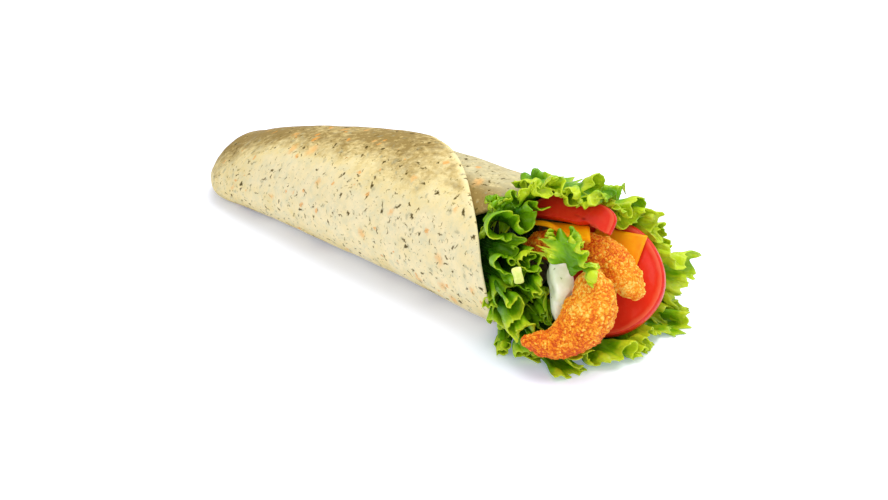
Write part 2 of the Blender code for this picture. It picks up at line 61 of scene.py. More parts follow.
# The roll, as its solids have it, in mm and degrees
SHEET = 1.8
SINK = 0.7
STATIONS = (0, 12, 30, 60, 100, 140, 180, 260)
HALF_WIDTH = (10, 18.3, 22, 24.9, 28.2, 30.7, 31.5, 31.5)
HALF_HEIGHT = (6.3, 13, 18.5, 23.8, 28.2, 30.7, 31.5, 31.5)
AXIS_HEIGHT = HALF_HEIGHT[-1] - SINK
FOLD_TILT = 20
FOLD_REACH = 70
TIP_LIFT = 2
TIP_LIFT_REACH = 25
RIM = 212
RIM_DIP = 30
RIM_DIP_ANGLE = 165
RIM_DIP_WIDTH = 38
FLAP_RIM = 213.5
FLAP_RIM_ANGLE = 195
FLAP_ROOT_ANGLE = 254
FLAP_END_ANGLE = -15
FLAP_START = 3
FLAP_ARC = 0.0046
FLAP_ARC_REACH = 113
FLAP_SLANT = 1.3
FLAP_UNDER_ARC = 0.004
FLAP_LIP = 2.6
FLAP_LIP_REACH = 70
FLAP_LIP_START = 20
FLAP_LIP_OPENING = 50
FLAP_LIP_CLOSING = 25
FLAP_ROOT_EDGE = 250
FLAP_ROOT_SOFT = 22
FLAP_TIP_EDGE = 4
FLAP_TIP_SOFT = 12
PRESSED = 0.7
MOUTH = 213.5
TABLE_CLEARANCE = 0.3
CORE_GAP = 1.5
CORE_SHOULDER = 184
CORE_RISE = 14
LEAF = 0.5

# The fillings
TOMATO_RADIUS = 26
TOMATO_THICK = 5.2
TOMATO_MIDDLE = (244.3, 10.5, 26.2)
TOMATO_FACING = (0.3, -0.75, 0.58)
SEGMENT_MIDDLE = (235.4, -4.5, 56.8)
SEGMENT_FACING = (0.04, -0.72, 0.69)
SEGMENT_THICK = 4.4
SEGMENT_HALF = 21.6
SEGMENT_POWERS = (2, 4.5)
SEGMENT_DEPTH = 10.5
SEGMENT_SAG = 4.2
SEGMENT_RISE = 3.2
SEGMENT_RISE_PLACE = (11.5, 5)
SEGMENT_TAPER = 5
CHEESE_THICK = 2.2
CHEESE_DROOP = 6
CHEESE_DROOP_START = 6
CHEESE_DROOP_REACH = (26, 12)
SAUCE_MIDDLE = (242.4, -20, 32)
SAUCE_FACING = (0.62, -0.65, 0.43)
SAUCE_REACH = (6.4, 13, 5.5)
SAUCE_WAVES = 0.1
SAUCE_PRESSED = 0.5


def linear(colour):
    """Linear red, green, blue and alpha of an sRGB hex value."""
    share = [int(colour[k : k + 2], 16) / 255 for k in (1, 3, 5)]
    return (*(s / 12.92 if s <= 0.04045 else ((s + 0.055) / 1.055) ** 2.4 for s in share), 1.0)


# Numbers


def smooth(value):
    """0 below 0, 1 above 1, and an S-shaped step between."""
    t = np.clip(value, 0, 1)
    return t * t * (3 - 2 * t)


def curve(at, stations, values):
    """Smooth curve through a few stations: cubic pieces with centred slopes."""
    s = np.asarray(stations, float)
    v = np.asarray(values, float)
    slope = np.gradient(v, s)
    at = np.clip(at, s[0], s[-1])
    k = np.clip(np.searchsorted(s, at) - 1, 0, len(s) - 2)
    span = s[k + 1] - s[k]
    t = (at - s[k]) / span
    start = (1 + 2 * t) * (1 - t) ** 2 * v[k] + t * (1 - t) ** 2 * span * slope[k]
    end = t * t * (3 - 2 * t) * v[k + 1] + t * t * (t - 1) * span * slope[k + 1]
    return start + end


def round_steps(count):
    """Even steps round a circle, in degrees."""
    return np.arange(count) * 360 / count


def unit(vector):
    """The same direction, one long."""
    vector = np.asarray(vector, float)
    return vector / np.maximum(np.linalg.norm(vector, axis=-1, keepdims=True), 1e-12)


def frame_of(facing):
    """Two axes across the facing direction, level and then up, and that direction."""
    facing = unit(facing)
    level = unit(np.cross([0, 0, 1.0], facing))
    return level, np.cross(facing, level), facing


def normals(grid, closed=False):
    """Unit normals of a grid: the cross product of its two directions. A closed grid wraps
    round in its columns."""
    down = np.gradient(grid, axis=0)
    if closed:
        across = np.roll(grid, -1, axis=1) - np.roll(grid, 1, axis=1)
    else:
        across = np.gradient(grid, axis=1)
    return unit(np.cross(across, down) + 1e-12)


def scatter(cell, seed):
    """A repeatable random number 0 to 1 for each whole-number cell: its coordinates are
    multiplied by large primes, mixed and cut to 16 bits."""
    mixed = cell[..., 0] * 73856093 ^ cell[..., 1] * 19349663 ^ cell[..., 2] * 83492791
    mixed = (mixed ^ (seed * 2654435761)) & 0xFFFFFFFF
    mixed = ((mixed ^ (mixed >> 15)) * 2246822519) & 0xFFFFFFFF
    mixed = ((mixed ^ (mixed >> 13)) * 3266489917) & 0xFFFFFFFF
    return ((mixed ^ (mixed >> 16)) & 0xFFFF) / 65535


def noise(points, size, seed):
    """Smooth noise -1 to 1: random numbers on a lattice of the given size in mm, blended
    between its corners with S-shaped weights."""
    at = points / size
    cell = np.floor(at).astype(np.int64)
    t = smooth(at - cell)
    total = np.zeros(at.shape[:-1])
    for corner in np.ndindex(2, 2, 2):
        weight = np.prod(np.where(corner, t, 1 - t), axis=-1)
        total += weight * scatter(cell + np.array(corner), seed)
    return 2 * total - 1


def grains(points, size, seed):
    """Crumbs: each lattice cell of the given size holds one ball at a random place and of a
    random radius. Gives the height of the tallest ball over each point, 0 to 1, and that
    ball's own random number."""
    at = points / size
    cell = np.floor(at).astype(np.int64)
    height = np.zeros(at.shape[:-1])
    tint = np.zeros(at.shape[:-1])
    for step in np.ndindex(3, 3, 3):
        near = cell + np.array(step) - 1
        middle = near + np.stack([scatter(near, seed + k) for k in range(3)], -1)
        radius = 0.32 + 0.36 * scatter(near, seed + 3)
        rise = np.sqrt(np.maximum(radius**2 - ((at - middle) ** 2).sum(axis=-1), 0))
        higher = rise > height
        height = np.where(higher, rise, height)
        tint = np.where(higher, scatter(near, seed + 4), tint)
    return height, tint


# Meshes


def grid_faces(rows, columns, wrap=False):
    """Quads of a grid of points, as rows of point numbers."""
    i = np.arange(rows - 1)[:, None]
    j = np.arange(columns if wrap else columns - 1)[None, :]
    k = (j + 1) % columns
    a, b = i * columns, (i + 1) * columns
    return np.stack(np.broadcast_arrays(a + j, a + k, b + k, b + j), -1).reshape(-1, 4)


def add_piece(name, points, faces, materials, uv=None, values=None, finish=None):
    """A mesh piece with its place in its mesh. points are mm in the roll's frame, faces and
    uv are lists of arrays that match, values are numbers for each point, and finish is the
    number of the material for each face. Its faces are turned to point outwards, which is
    where the volume under them comes out positive."""
    placed = (points.reshape(-1, 3) - FOOTPRINT_MIDDLE) * MM
    volume = sum(
        np.einsum("ij,ij->", placed[f[:, 0]], np.cross(placed[f[:, k]], placed[f[:, k + 1]]))
        for f in faces
        for k in range(1, f.shape[1] - 1)
    )
    if volume < 0:
        faces = [f[:, ::-1] for f in faces]
        uv = [pair[:, ::-1] for pair in uv] if uv else None
    mesh = bpy.data.meshes.new(name)
    mesh.vertices.add(len(placed))
    mesh.vertices.foreach_set("co", placed.ravel())
    corners = np.concatenate([f.ravel() for f in faces])
    sizes = np.concatenate([np.full(len(f), f.shape[1]) for f in faces])
    mesh.loops.add(len(corners))
    mesh.loops.foreach_set("vertex_index", corners)
    mesh.polygons.add(len(sizes))
    mesh.polygons.foreach_set("loop_start", np.cumsum(sizes) - sizes)
    if finish is not None:
        mesh.polygons.foreach_set("material_index", finish)
    mesh.update(calc_edges=True)
    if uv:
        layer = mesh.uv_layers.new(name="flat")
        layer.data.foreach_set("uv", np.concatenate([pair.reshape(-1, 2) for pair in uv]).ravel())
    for key, value in (values or {}).items():
        made = mesh.attributes.new(key, "FLOAT", "POINT")
        made.data.foreach_set("value", np.asarray(value, float).ravel())
    if mesh.validate():
        raise RuntimeError(f"{name}: the mesh isn't sound")
    mesh.shade_smooth()
    for material in materials:
        mesh.materials.append(material)
    item = bpy.data.objects.new(name, mesh)
    bpy.context.scene.collection.objects.link(item)
    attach(item, "root")
    return item


def sheet_mesh(upper, lower, bulge):
    """Points and faces of a closed sheet between two grids, with a border that bulges out
    by the given mm half way between them."""
    rows, columns = upper.shape[:2]
    last_row, last_column = rows - 1, columns - 1
    i = np.concatenate([
        np.zeros(columns, int), np.arange(1, rows), np.full(last_column, last_row),
        np.arange(last_row - 1, 0, -1),
    ])
    j = np.concatenate([
        np.arange(columns), np.full(last_row, last_column), np.arange(last_column - 1, -1, -1),
        np.zeros(rows - 2, int),
    ])
    middle = (upper + lower) / 2
    inside = middle[np.clip(i, 1, last_row - 1), np.clip(j, 1, last_column - 1)]
    border = middle[i, j] + unit(middle[i, j] - inside) * bulge
    points = np.concatenate([upper.reshape(-1, 3), lower.reshape(-1, 3), border])
    first = grid_faces(rows, columns)
    second = first[:, ::-1] + rows * columns
    edge = i * columns + j
    turn = np.roll(np.arange(len(edge)), -1)
    rim = 2 * rows * columns + np.arange(len(edge))
    walls = [
        np.stack([edge[turn], edge, rim, rim[turn]], -1),
        np.stack([rim[turn], rim, edge + rows * columns, edge[turn] + rows * columns], -1),
    ]
    return points, [first, second, *walls], (i, j)


def sheet_values(value, border):
    """A number for each point of a sheet mesh, from one for each point of its grid."""
    return np.concatenate([value.ravel(), value.ravel(), value[border]])


def tube_mesh(rings):
    """Points and faces that skin closed rings in turn, with a pole at both ends."""
    rows, columns = rings.shape[:2]
    poles = np.array([rings[0].mean(axis=0), rings[-1].mean(axis=0)])
    points = np.concatenate([rings.reshape(-1, 3), poles])
    j = np.arange(columns)
    k = np.roll(j, -1)
    last = (rows - 1) * columns
    low = np.full(columns, rows * columns)
    caps = [np.stack([k, j, low], -1), np.stack([last + j, last + k, low + 1], -1)]
    return points, [grid_faces(rows, columns, wrap=True), *caps]


def tube_values(value):
    """A number for each point of a tube mesh, from one for each point of its rings."""
    return np.concatenate([value.ravel(), [value[0].mean(), value[-1].mean()]])


# Shader nodes


LIGHT_DEPTH = 1.5 * MM  # how deep light goes into rib, flesh, cheese and sauce


def link(tree, value, socket):
    """Feeds a socket: from a node's first output, from a socket, or with a constant."""
    if isinstance(value, bpy.types.Node):
        value = value.outputs[0]
    if isinstance(value, bpy.types.NodeSocket):
        tree.links.new(value, socket)
    else:
        socket.default_value = value


def add(tree, kind, inputs=None, stops=None, **settings):
    """Adds a shader node, sets its properties and its colour stops, and feeds its inputs."""
    node = tree.nodes.new("ShaderNode" + kind)
    for key, value in settings.items():
        setattr(node, key, value)
    for key, value in (inputs or {}).items():
        link(tree, value, node.inputs[key])
    if stops:
        elements = node.color_ramp.elements
        while len(elements) < len(stops):
            elements.new(1.0)
        for element, (at, colour) in zip(elements, stops):
            element.position = at
            element.color = colour
    return node


def new_material(name, **sockets):
    """A material, its node tree and its shader, whose sockets take the given constants."""
    material = bpy.data.materials.new(name)
    material.use_nodes = True
    tree = material.node_tree
    shader = tree.nodes["Principled BSDF"]
    for key, value in sockets.items():
        shader.inputs[key.replace("_", " ")].default_value = value
    return material, tree, shader


def surface(tree, shader, colour, height=None, strength=0.0, depth=0.0):
    """Feeds the shader's colour and, where there is a height, its relief: a bump of up to
    the given mm. Gives back the bump."""
    link(tree, colour, shader.inputs["Base Color"])
    if height is None:
        return None
    bump = add(tree, "Bump", {"Height": height, "Strength": strength, "Distance": depth * MM})
    link(tree, bump, shader.inputs["Normal"])
    return bump


def patches(tree, place, size, detail, *stops):
    """A colour that goes through its stops with smooth noise of the given size in mm."""
    cloud = add(tree, "TexNoise", {"Vector": place, "Scale": 1 / (size * MM), "Detail": detail})
    return add(tree, "ValToRGB", {0: cloud}, stops=stops)


def wander(tree, at, pattern, low, high, bottom, top):
    """A number that goes from bottom to top while smooth noise goes from low to high."""
    cloud = add(tree, "TexNoise", {"Vector": at, **pattern})
    return add(tree, "MapRange", {"Value": cloud, "From Min": low, "From Max": high,
                                  "To Min": bottom, "To Max": top})


# The roll


def roll_surface(x, angle):
    """Outer face of the inner layer: tilted ellipses that turn into circles along the roll,
    each one standing on the table and pressed flat under it."""
    wide = curve(x, STATIONS, HALF_WIDTH)
    high = curve(x, STATIONS, HALF_HEIGHT)
    tilt = math.radians(FOLD_TILT) * (1 - smooth(x / FOLD_REACH))
    across = wide * np.cos(np.radians(angle))
    up = high * np.sin(np.radians(angle))
    y = across * np.cos(tilt) - up * np.sin(tilt)
    z = across * np.sin(tilt) + up * np.cos(tilt)
    middle = np.hypot(wide * np.sin(tilt), high * np.cos(tilt)) - SINK
    middle = middle + TIP_LIFT * (1 - smooth(x / TIP_LIFT_REACH))
    return np.stack([x + 0 * y, y, np.maximum(z + middle, 0)], -1)


def inner_rim(angle):
    """x of the inner layer's cut edge, which is further in under the flap."""
    away = (angle - RIM_DIP_ANGLE) / RIM_DIP_WIDTH
    return RIM - RIM_DIP * np.exp(-(away**2))


def flap_rim(angle):
    """x of the flap's cut edge: an arc over the front and the top, then a straight slant
    round the far side, and a flatter arc under the roll."""
    down = np.maximum(FLAP_RIM_ANGLE - angle, 0)
    past = np.maximum(angle - FLAP_RIM_ANGLE, 0)
    arc = FLAP_ARC * np.minimum(down, FLAP_ARC_REACH) ** 2
    slant = FLAP_SLANT * np.maximum(down - FLAP_ARC_REACH, 0)
    return FLAP_RIM - (arc + slant) - FLAP_UNDER_ARC * past**2


def flap_standoff(x, angle):
    """Gap between the flap and the layer under it: pressed in at its root and at the
    closed end, standing off towards its rim over the front and the top."""
    lip = smooth(1 - (flap_rim(angle) - x) / FLAP_LIP_REACH)
    from_root = FLAP_ROOT_EDGE - angle
    front = smooth((angle - FLAP_LIP_START) / FLAP_LIP_OPENING)
    front = front * smooth(from_root / FLAP_LIP_CLOSING)
    free = smooth(from_root / FLAP_ROOT_SOFT) * smooth((x - FLAP_TIP_EDGE) / FLAP_TIP_SOFT)
    return FLAP_LIP * lip * front - PRESSED - SHEET * (1 - free)


UV_REACH = 300  # mm that one unit of the sheet's own map stands for


def flat_map(x, angle, turn=0.0):
    """Where a point of the roll lies on the unrolled sheet, in units of UV_REACH: its arc
    length round the roll, and x."""
    around = np.radians(angle) * curve(x, STATIONS, HALF_WIDTH) + turn
    return np.stack([around, x + 0 * angle], -1) / UV_REACH


def dough_relief(points):
    """How far the soft sheet stands proud: broad waves, shallow dents and small blisters."""
    relief = 0.7 * noise(points, 38, 1) + 0.3 * noise(points, 15, 2) + 0.1 * noise(points, 5, 3)
    tip = smooth(1 - points[..., 0] / 45)
    creases = np.abs(noise(points * [0.35, 1, 1], 7, 4))
    return relief * smooth(points[..., 2] / 6) + tip * (0.5 - 1.1 * creases)


# The toasted band, in degrees round the roll: its near edge, how far that edge moves down
# towards the open end, how soft it is, and where the band begins at the far side and how softly
BAND_EDGE = 122
BAND_DRIFT = 10
BAND_SOFT = 62
BAND_START = 28
BAND_START_SOFT = 30
UNDERSIDE = (200, 34)  # degrees from which the underside is toasted, and over how many


def toasting(x, angle, points):
    """How toasted the dough is, 0 to 1: a band along the top that widens towards the open
    end, scattered patches where the sheet touched the hot plate, the underside, and the
    closed end."""
    turned = np.mod(angle + 90, 360) - 90
    lower = BAND_EDGE + BAND_DRIFT * smooth((x - 60) / 140)
    band = smooth((lower - turned) / BAND_SOFT + 0.5)
    band = band * smooth((turned - BAND_START) / BAND_START_SOFT)
    patchy = smooth(0.5 * noise(points, 24, 7) + 0.9 * noise(points, 9, 8) - 0.15)
    band = band * (0.9 + 0.3 * noise(points, 9, 9)) * (1 - 0.35 * smooth((x - 110) / 80))
    start, soft = UNDERSIDE
    under = smooth((turned - start) / soft) * (0.2 + 0.6 * noise(points, 8, 10))
    return np.clip(band + under + 0.2 * patchy + 0.3 * smooth((80 - x) / 70), 0, 1)


def make_flecks(tree, at, colour, layers):
    """Layers of flecks on a colour. Each layer has one fleck in each cell of a pattern of
    scattered points: turned at random, drawn out to its length and width, kept by chance."""
    for cell, chance, length, width, soft, strength, tint, shift in layers:
        spot = add(tree, "Mapping", {"Vector": at, "Location": (shift, shift * 1.7, 0),
                                     "Scale": (1 / cell, 1 / cell, 1)})
        points = add(tree, "TexVoronoi", {"Vector": spot, "Scale": 1.0},
                     voronoi_dimensions="2D")
        off = add(tree, "VectorMath", {0: spot, 1: points.outputs["Position"]},
                  operation="SUBTRACT")
        draw = add(tree, "SeparateColor", {0: points.outputs["Color"]})
        turn = add(tree, "Math", {0: draw, 1: 2 * math.pi}, operation="MULTIPLY")
        turned = add(tree, "VectorRotate", {"Vector": off, "Angle": turn},
                     rotation_type="Z_AXIS")
        drawn = add(tree, "VectorMath", {0: turned, 1: (cell / length, cell / width, 0)},
                    operation="MULTIPLY")
        away = add(tree, "VectorMath", {0: drawn}, operation="LENGTH").outputs["Value"]
        size = add(tree, "MapRange", {"Value": draw.outputs[2], "To Min": 0.25, "To Max": 1.2})
        edge = add(tree, "Math", {0: away, 1: size}, operation="DIVIDE")
        mask = add(tree, "MapRange", {"Value": edge, "From Min": 1 - soft, "From Max": 1.0,
                                      "To Min": strength, "To Max": 0.0},
                   interpolation_type="SMOOTHSTEP")
        kept = add(tree, "Math", {0: draw.outputs[1], 1: chance}, operation="LESS_THAN")
        share = add(tree, "Math", {0: mask, 1: kept}, operation="MULTIPLY")
        colour = add(tree, "Mix", {0: share, 6: colour, 7: linear(tint)},
                     data_type="RGBA").outputs[2]
    return colour


# cell, chance, half length, half width in mm, softness, strength, colour, shift
FLECKS = (
    (8, 0.6, 2.2, 1.4, 1.0, 0.6, "#98977A", 7.7),  # herb leaf, under the skin
    (17, 0.55, 4.4, 3.4, 0.9, 0.62, "#EDB060", 3.1),  # paprika, under the skin of the dough
    (11, 0.4, 1.8, 1.4, 0.7, 0.7, "#E6993E", 5.3),  # paprika
    (4.4, 0.7, 1.2, 0.45, 0.8, 0.75, "#7C6E34", 4.4),  # thin herb stalks
    (5.4, 0.5, 1.8, 0.55, 0.7, 0.95, "#5A4A14", 1.9),  # dried herb
    (9.5, 0.45, 1.8, 1.0, 0.6, 0.95, "#4A3C0A", 9.4),  # dried herb, dark
    (2.4, 0.55, 0.4, 0.3, 0.7, 0.7, "#7A5C20", 2.6),  # bran
)


# noise scale per mm and the mm that the flecks are moved by, so that they don't lie in rows
FLECK_DRIFT = ((0.3, 3.4), (1.0, 2.2))
STREAK = (2.2, 3.6)  # mm across and along the roll


def dough_material(wrap):
    """Wheat flour tortilla, rolled thin and baked on a hot plate: matt and slightly floury,
    toasted brown where it touched the plate, with herb flecks and paprika baked in."""
    material, tree, shader = new_material("Baked wheat tortilla", Roughness=0.62, IOR=1.42,
                                          Specular_IOR_Level=0.15)
    place = add(tree, "TexCoord").outputs["Object"]
    toast, flour = (add(tree, "Attribute", attribute_name=name).outputs["Fac"]
                    for name in ("toast", "flour"))
    mapped = add(tree, "UVMap", uv_map="flat")
    at = add(tree, "VectorMath", {0: mapped, 1: (UV_REACH, UV_REACH, 0)}, operation="MULTIPLY")
    moved = at
    for scale, reach in FLECK_DRIFT:
        warp = add(tree, "TexNoise", {"Vector": at, "Scale": scale, "Detail": 2.0})
        centred = add(tree, "VectorMath", {0: warp.outputs["Color"], 1: (0.5, 0.5, 0.5)},
                      operation="SUBTRACT")
        moved = add(tree, "VectorMath", {0: centred, 1: (reach, reach, 0), 2: moved},
                    operation="MULTIPLY_ADD")
    drawn = add(tree, "Mapping", {"Vector": at, "Scale": (1 / STREAK[0], 1 / STREAK[1], 1)})
    rough = {"Detail": 5.0, "Roughness": 0.65}
    streaks = wander(tree, drawn, {"Scale": 1.0, **rough}, 0.3, 0.7, 0.55, 1.45)
    streaked = add(tree, "Math", {0: toast, 1: streaks}, operation="MULTIPLY")
    mottled = wander(tree, place, {"Scale": 1 / (12 * MM), **rough}, 0.3, 0.7, -0.12, 0.26)
    baked = add(tree, "Math", {0: streaked, 1: mottled}, operation="ADD", use_clamp=True)
    colour = add(tree, "ValToRGB", {0: baked}, stops=(
        (0.0, wrap.dough), (0.35, wrap.baked), (0.7, wrap.toasted), (1.0, wrap.browned)))
    grey = wander(tree, moved, {"Scale": 0.22, "Detail": 5.0, "Roughness": 0.7},
                  0.44, 0.7, 0.0, 0.8)
    plain = add(tree, "Math", {0: 1.0, 1: toast}, operation="SUBTRACT")
    faded = add(tree, "Math", {0: grey, 1: plain, 2: flour}, operation="MULTIPLY_ADD",
                use_clamp=True)
    colour = add(tree, "Mix", {0: faded, 6: colour, 7: wrap.grey_dough}, data_type="RGBA")
    colour = make_flecks(tree, moved, colour.outputs[2], FLECKS)
    grain, pores = (add(tree, "TexNoise", {"Vector": place, "Scale": 1 / (size * MM),
                                           "Detail": 3.0}) for size in (0.9, 3.5))
    height = add(tree, "Math", {0: pores, 1: 1.6, 2: grain}, operation="MULTIPLY_ADD")
    surface(tree, shader, colour, height, 0.35, 0.5)
    return material


# The low dome of the closed end: share of the end ring's reach, and mm behind it
DOME = np.array([(0.3, 1.5), (0.6, 1.2), (0.85, 0.7), (0.96, 0.3)])
CUP_TURN = 40  # mm that the inner layer's pattern is turned from the flap's


def make_cup(material):
    """The inner layer: its outer face along x as a share of its rim, a half-round cut edge,
    and its inner face back to the closed end, which is a low dome. It is darker on its near
    side, partly toasting and partly painted shade under the flap, and toasted towards the closed
    end as the flap is."""
    rows, columns = 230, 220
    angle = round_steps(columns)[None, :]
    turn = np.radians(angle)
    rim = inner_rim(angle) + 0.5 * np.sin(turn * 7) * np.sin(turn * 4)
    x = np.concatenate([[0, 0.3, 0.9, 1.8], np.linspace(3, RIM, rows)])[:, None] / RIM * rim
    base = roll_surface(x, angle)
    out = normals(base, closed=True)
    outer = base + out * dough_relief(base)[..., None]
    outer[..., 2] = np.maximum(outer[..., 2], 0)
    tip = outer[0].mean(axis=0)
    dome = [tip + (outer[0] - tip) * share - [back, 0, 0] for share, back in DOME]
    inner = outer - out * SHEET
    bend = np.radians([45, 90, 135])[:, None, None]
    along = unit(outer[-1] - outer[-2])
    middle = (outer[-1] + inner[-1]) / 2
    edge = middle + SHEET / 2 * (np.cos(bend) * out[-1] + np.sin(bend) * along)
    coarse = slice(3, None, 6)
    rings = np.concatenate([dome, outer, edge, inner[-1:], inner[coarse][::-1]])
    dome_x = x[:1] - HALF_WIDTH[0] * (1 - DOME[:, :1])
    rim_x = x[-1:].repeat(len(edge) + 1, axis=0)
    all_x = np.concatenate([dome_x, x, rim_x, x[coarse][::-1]])
    # The near side is darker: partly toasting, partly painted shade under the flap's rim
    near_side = smooth((angle - 95) / 25) * smooth((260 - angle) / 50)
    open_end = smooth((all_x - 10) / 30)
    toast = toasting(all_x, angle + 0 * all_x, rings)
    toast = toast + open_end * (0.55 - 0.7 * toast + 0.35 * near_side)
    flour = 0.5 * (1 - near_side) * open_end
    points, faces = tube_mesh(rings)
    wide = np.concatenate([angle[0], [360.0]])
    laid = flat_map(np.concatenate([all_x, all_x[:, :1]], axis=1), wide[None], CUP_TURN)
    corner = grid_faces(len(rings), columns + 1)
    uv = [laid.reshape(-1, 2)[corner]]
    uv += [np.broadcast_to(laid[end, :1], (columns, 3, 2)) for end in (0, -1)]
    return add_piece("tortilla_inner", points, faces, [material], uv=uv,
                     values={"toast": tube_values(toast), "flour": tube_values(flour)})


FLAP_EDGE_SOFT = 1.6  # mm over which the cut edge gets thinner


def make_flap(material):
    """The flap: the same surface carried out by its standoff, on a grid of angle and share
    of the way to its rim, with a soft cut edge that is hardly toasted."""
    rows, columns = 190, 240
    angle = np.linspace(FLAP_ROOT_ANGLE, FLAP_END_ANGLE, columns)[None, :]
    share = np.linspace(0, 1, rows)[:, None]
    uneven = 0.5 * np.sin(np.radians(angle) * 5 + 1) * np.sin(np.radians(angle) * 3.3)
    rim = flap_rim(angle)
    x = FLAP_START + share * (rim + uneven - FLAP_START)
    base = roll_surface(x, angle)
    out = -normals(base)
    gap = (flap_standoff(x, angle) + dough_relief(base))[..., None]
    soft = smooth((x - rim + FLAP_EDGE_SOFT) / FLAP_EDGE_SOFT)[..., None] * 0.35
    upper = base + out * (gap + SHEET - soft)
    lower = base + out * (gap + soft)
    upper[..., 2] = np.maximum(upper[..., 2], 0.1)
    lower[..., 2] = np.maximum(lower[..., 2], 0.05)
    points, faces, border = sheet_mesh(upper, lower, SHEET / 4)
    toast = toasting(x, angle + 0 * x, base) * (0.15 + 0.85 * smooth((rim - x) / 7))
    laid = flat_map(x, angle)
    flat = np.concatenate([laid.reshape(-1, 2), laid.reshape(-1, 2), laid[border]])
    return add_piece("tortilla_flap", points, faces, [material], uv=[flat[f] for f in faces],
                     values={"toast": sheet_values(toast, border)})


# Shrimps, sauce and slices: where they lie, and how far a point is from them


SHRIMPS = {
    # a point of its plane, the way it faces, and its centre line from tail to head as
    # (level, up, radius) in that plane
    "shrimp_front": (
        (246.5, -31, 31.7), (0.6, -0.67, 0.43),
        ((-11.3, -17, 1.5), (-5.2, -17.6, 4.6), (2.1, -18, 6.8), (9.1, -14.9, 8.9),
         (14.4, -9.7, 11), (17.9, -3.5, 11.5), (18.7, 2.6, 9.9), (16.8, 8.2, 7.6),
         (14, 11.8, 4)),
    ),
    "shrimp_back": (
        (240.3, -16.1, 23.2), (0.45, -0.75, 0.48),
        ((1, 26.5, 3), (6, 26.8, 5.5), (12.6, 24.2, 7.8), (19, 20.2, 8.6), (23.9, 15.8, 8.3),
         (28.6, 11.7, 7.2), (31.8, 7.6, 4.8), (33.2, 4.2, 1.8)),
    ),
    "shrimp_inner": (
        (226, -9, 30), (0.62, -0.65, 0.43),
        ((-8.5, 6, 2.5), (-6, 10, 5), (-1, 12, 6.6), (5, 10.5, 6.6), (9.5, 5, 5), (10, 1.5, 2.5)),
    ),
}
CHEESE = {
    # a corner, its two edge directions and their lengths
    "cheese_right": ((255, 24, 45.8), (-0.93, -0.36, 0.016), (0.09, -0.6, -0.79), 23, 18),
    "cheese_top": ((250.9, -9.5, 59.5), (-0.95, -0.058, -0.196), (-0.62, 0.66, -0.42), 37, 18),
}
FILLINGS = ("tomato_right", "tomato_top", "cheese_right", "cheese_top",
            "shrimp_front", "shrimp_back", "shrimp_inner", "sauce")
CRUST_GAP = 0.4
# rows and columns of each shrimp's mesh; the inner one shows only in small patches
SHRIMP_GRIDS = {"shrimp_front": (360, 260), "shrimp_back": (360, 260),
                "shrimp_inner": (220, 170)}


def shrimp_path(name, count):
    """Points and radii along a curled shrimp, which gets thin where a slice presses it."""
    middle, facing, line = SHRIMPS[name]
    level, up, _ = frame_of(facing)
    line = np.array(line, float)
    stations = np.linspace(0, 1, len(line))
    at = np.linspace(0, 1, count)
    across, rise, radius = (curve(at, stations, line[:, k]) for k in range(3))
    points = np.array(middle) + across[:, None] * level + rise[:, None] * up
    for pressing in (*CHEESE, "tomato_right", "tomato_top"):
        near = to_filling(points, pressing) - 2 * CRUST_GAP
        radius = np.minimum(radius, np.maximum(near, 1.2))
    return points, radius


def to_chain(points, name):
    """Distance from points to a shrimp, as a chain of balls joined by cones."""
    path, radius = shrimp_path(name, 17)
    best = np.full(points.shape[:-1], 1e9)
    for a, b, ra, rb in zip(path[:-1], path[1:], radius[:-1], radius[1:]):
        along = b - a
        t = np.clip(((points - a) @ along) / (along @ along), 0, 1)
        away = np.linalg.norm(points - a - t[..., None] * along, axis=-1)
        best = np.minimum(best, away - ra - t * (rb - ra) - 0.5)
    return best


def to_disc(points, middle, facing, radius, thick):
    """Distance to a round slice: across its faces, beyond its rim, or to its edge."""
    facing = unit(facing)
    off = points - np.array(middle)
    high = np.abs(off @ facing) - thick / 2
    wide = np.linalg.norm(off - (off @ facing)[..., None] * facing, axis=-1) - radius
    outside = np.hypot(np.maximum(high, 0), np.maximum(wide, 0))
    return outside + np.minimum(np.maximum(high, wide), 0)


def to_box(points, middle, axes, size):
    """Distance to a box: past its sides, or to the nearest one from inside."""
    inside = np.abs((points - middle) @ np.array(axes).T) - np.array(size) / 2
    return np.linalg.norm(np.maximum(inside, 0), axis=-1) + np.minimum(inside.max(axis=-1), 0)


def cheese_droop(name, a, b):
    """How far a slice sags near its free corner, at a and b mm from it."""
    if name != "cheese_top":
        return 0 * a
    long, short = CHEESE_DROOP_REACH
    near = smooth((long - a) / (long - CHEESE_DROOP_START)) * smooth(1 - np.maximum(b, 0) / short)
    return CHEESE_DROOP * near


def to_slice(points, name):
    """Distance to a cheese slice, as a box once its droop is undone."""
    corner, first, second, long, short = CHEESE[name]
    first, second = unit(first), unit(second)
    face = unit(np.cross(first, second))
    place = (points - np.array(corner)) @ np.linalg.inv([first, second, face])
    flat = points + [0, 0, 1] * cheese_droop(name, place[..., :1], place[..., 1:2])
    middle = np.array(corner) + first * long / 2 + second * short / 2
    lean = abs(first @ second)
    size = (long + lean * short, short * math.sqrt(1 - lean**2), CHEESE_THICK)
    return to_box(flat, middle, (first, np.cross(face, first), face), size)


def sauce_width(side, rise):
    """Half width of the sauce at a share of its height. Leaves press in its lower left."""
    return SAUCE_REACH[0] * (1 - SAUCE_PRESSED * smooth(0.75 - rise) * (side < 0))


def to_sauce(points):
    """About the distance to the sauce's plain ball."""
    off = (points - np.array(SAUCE_MIDDLE)) @ np.array(frame_of(SAUCE_FACING)).T
    share = off / np.array(SAUCE_REACH)
    share[..., 0] = off[..., 0] / sauce_width(off[..., 0], share[..., 1])
    return (np.linalg.norm(share, axis=-1) - 1 - SAUCE_WAVES) * min(SAUCE_REACH)


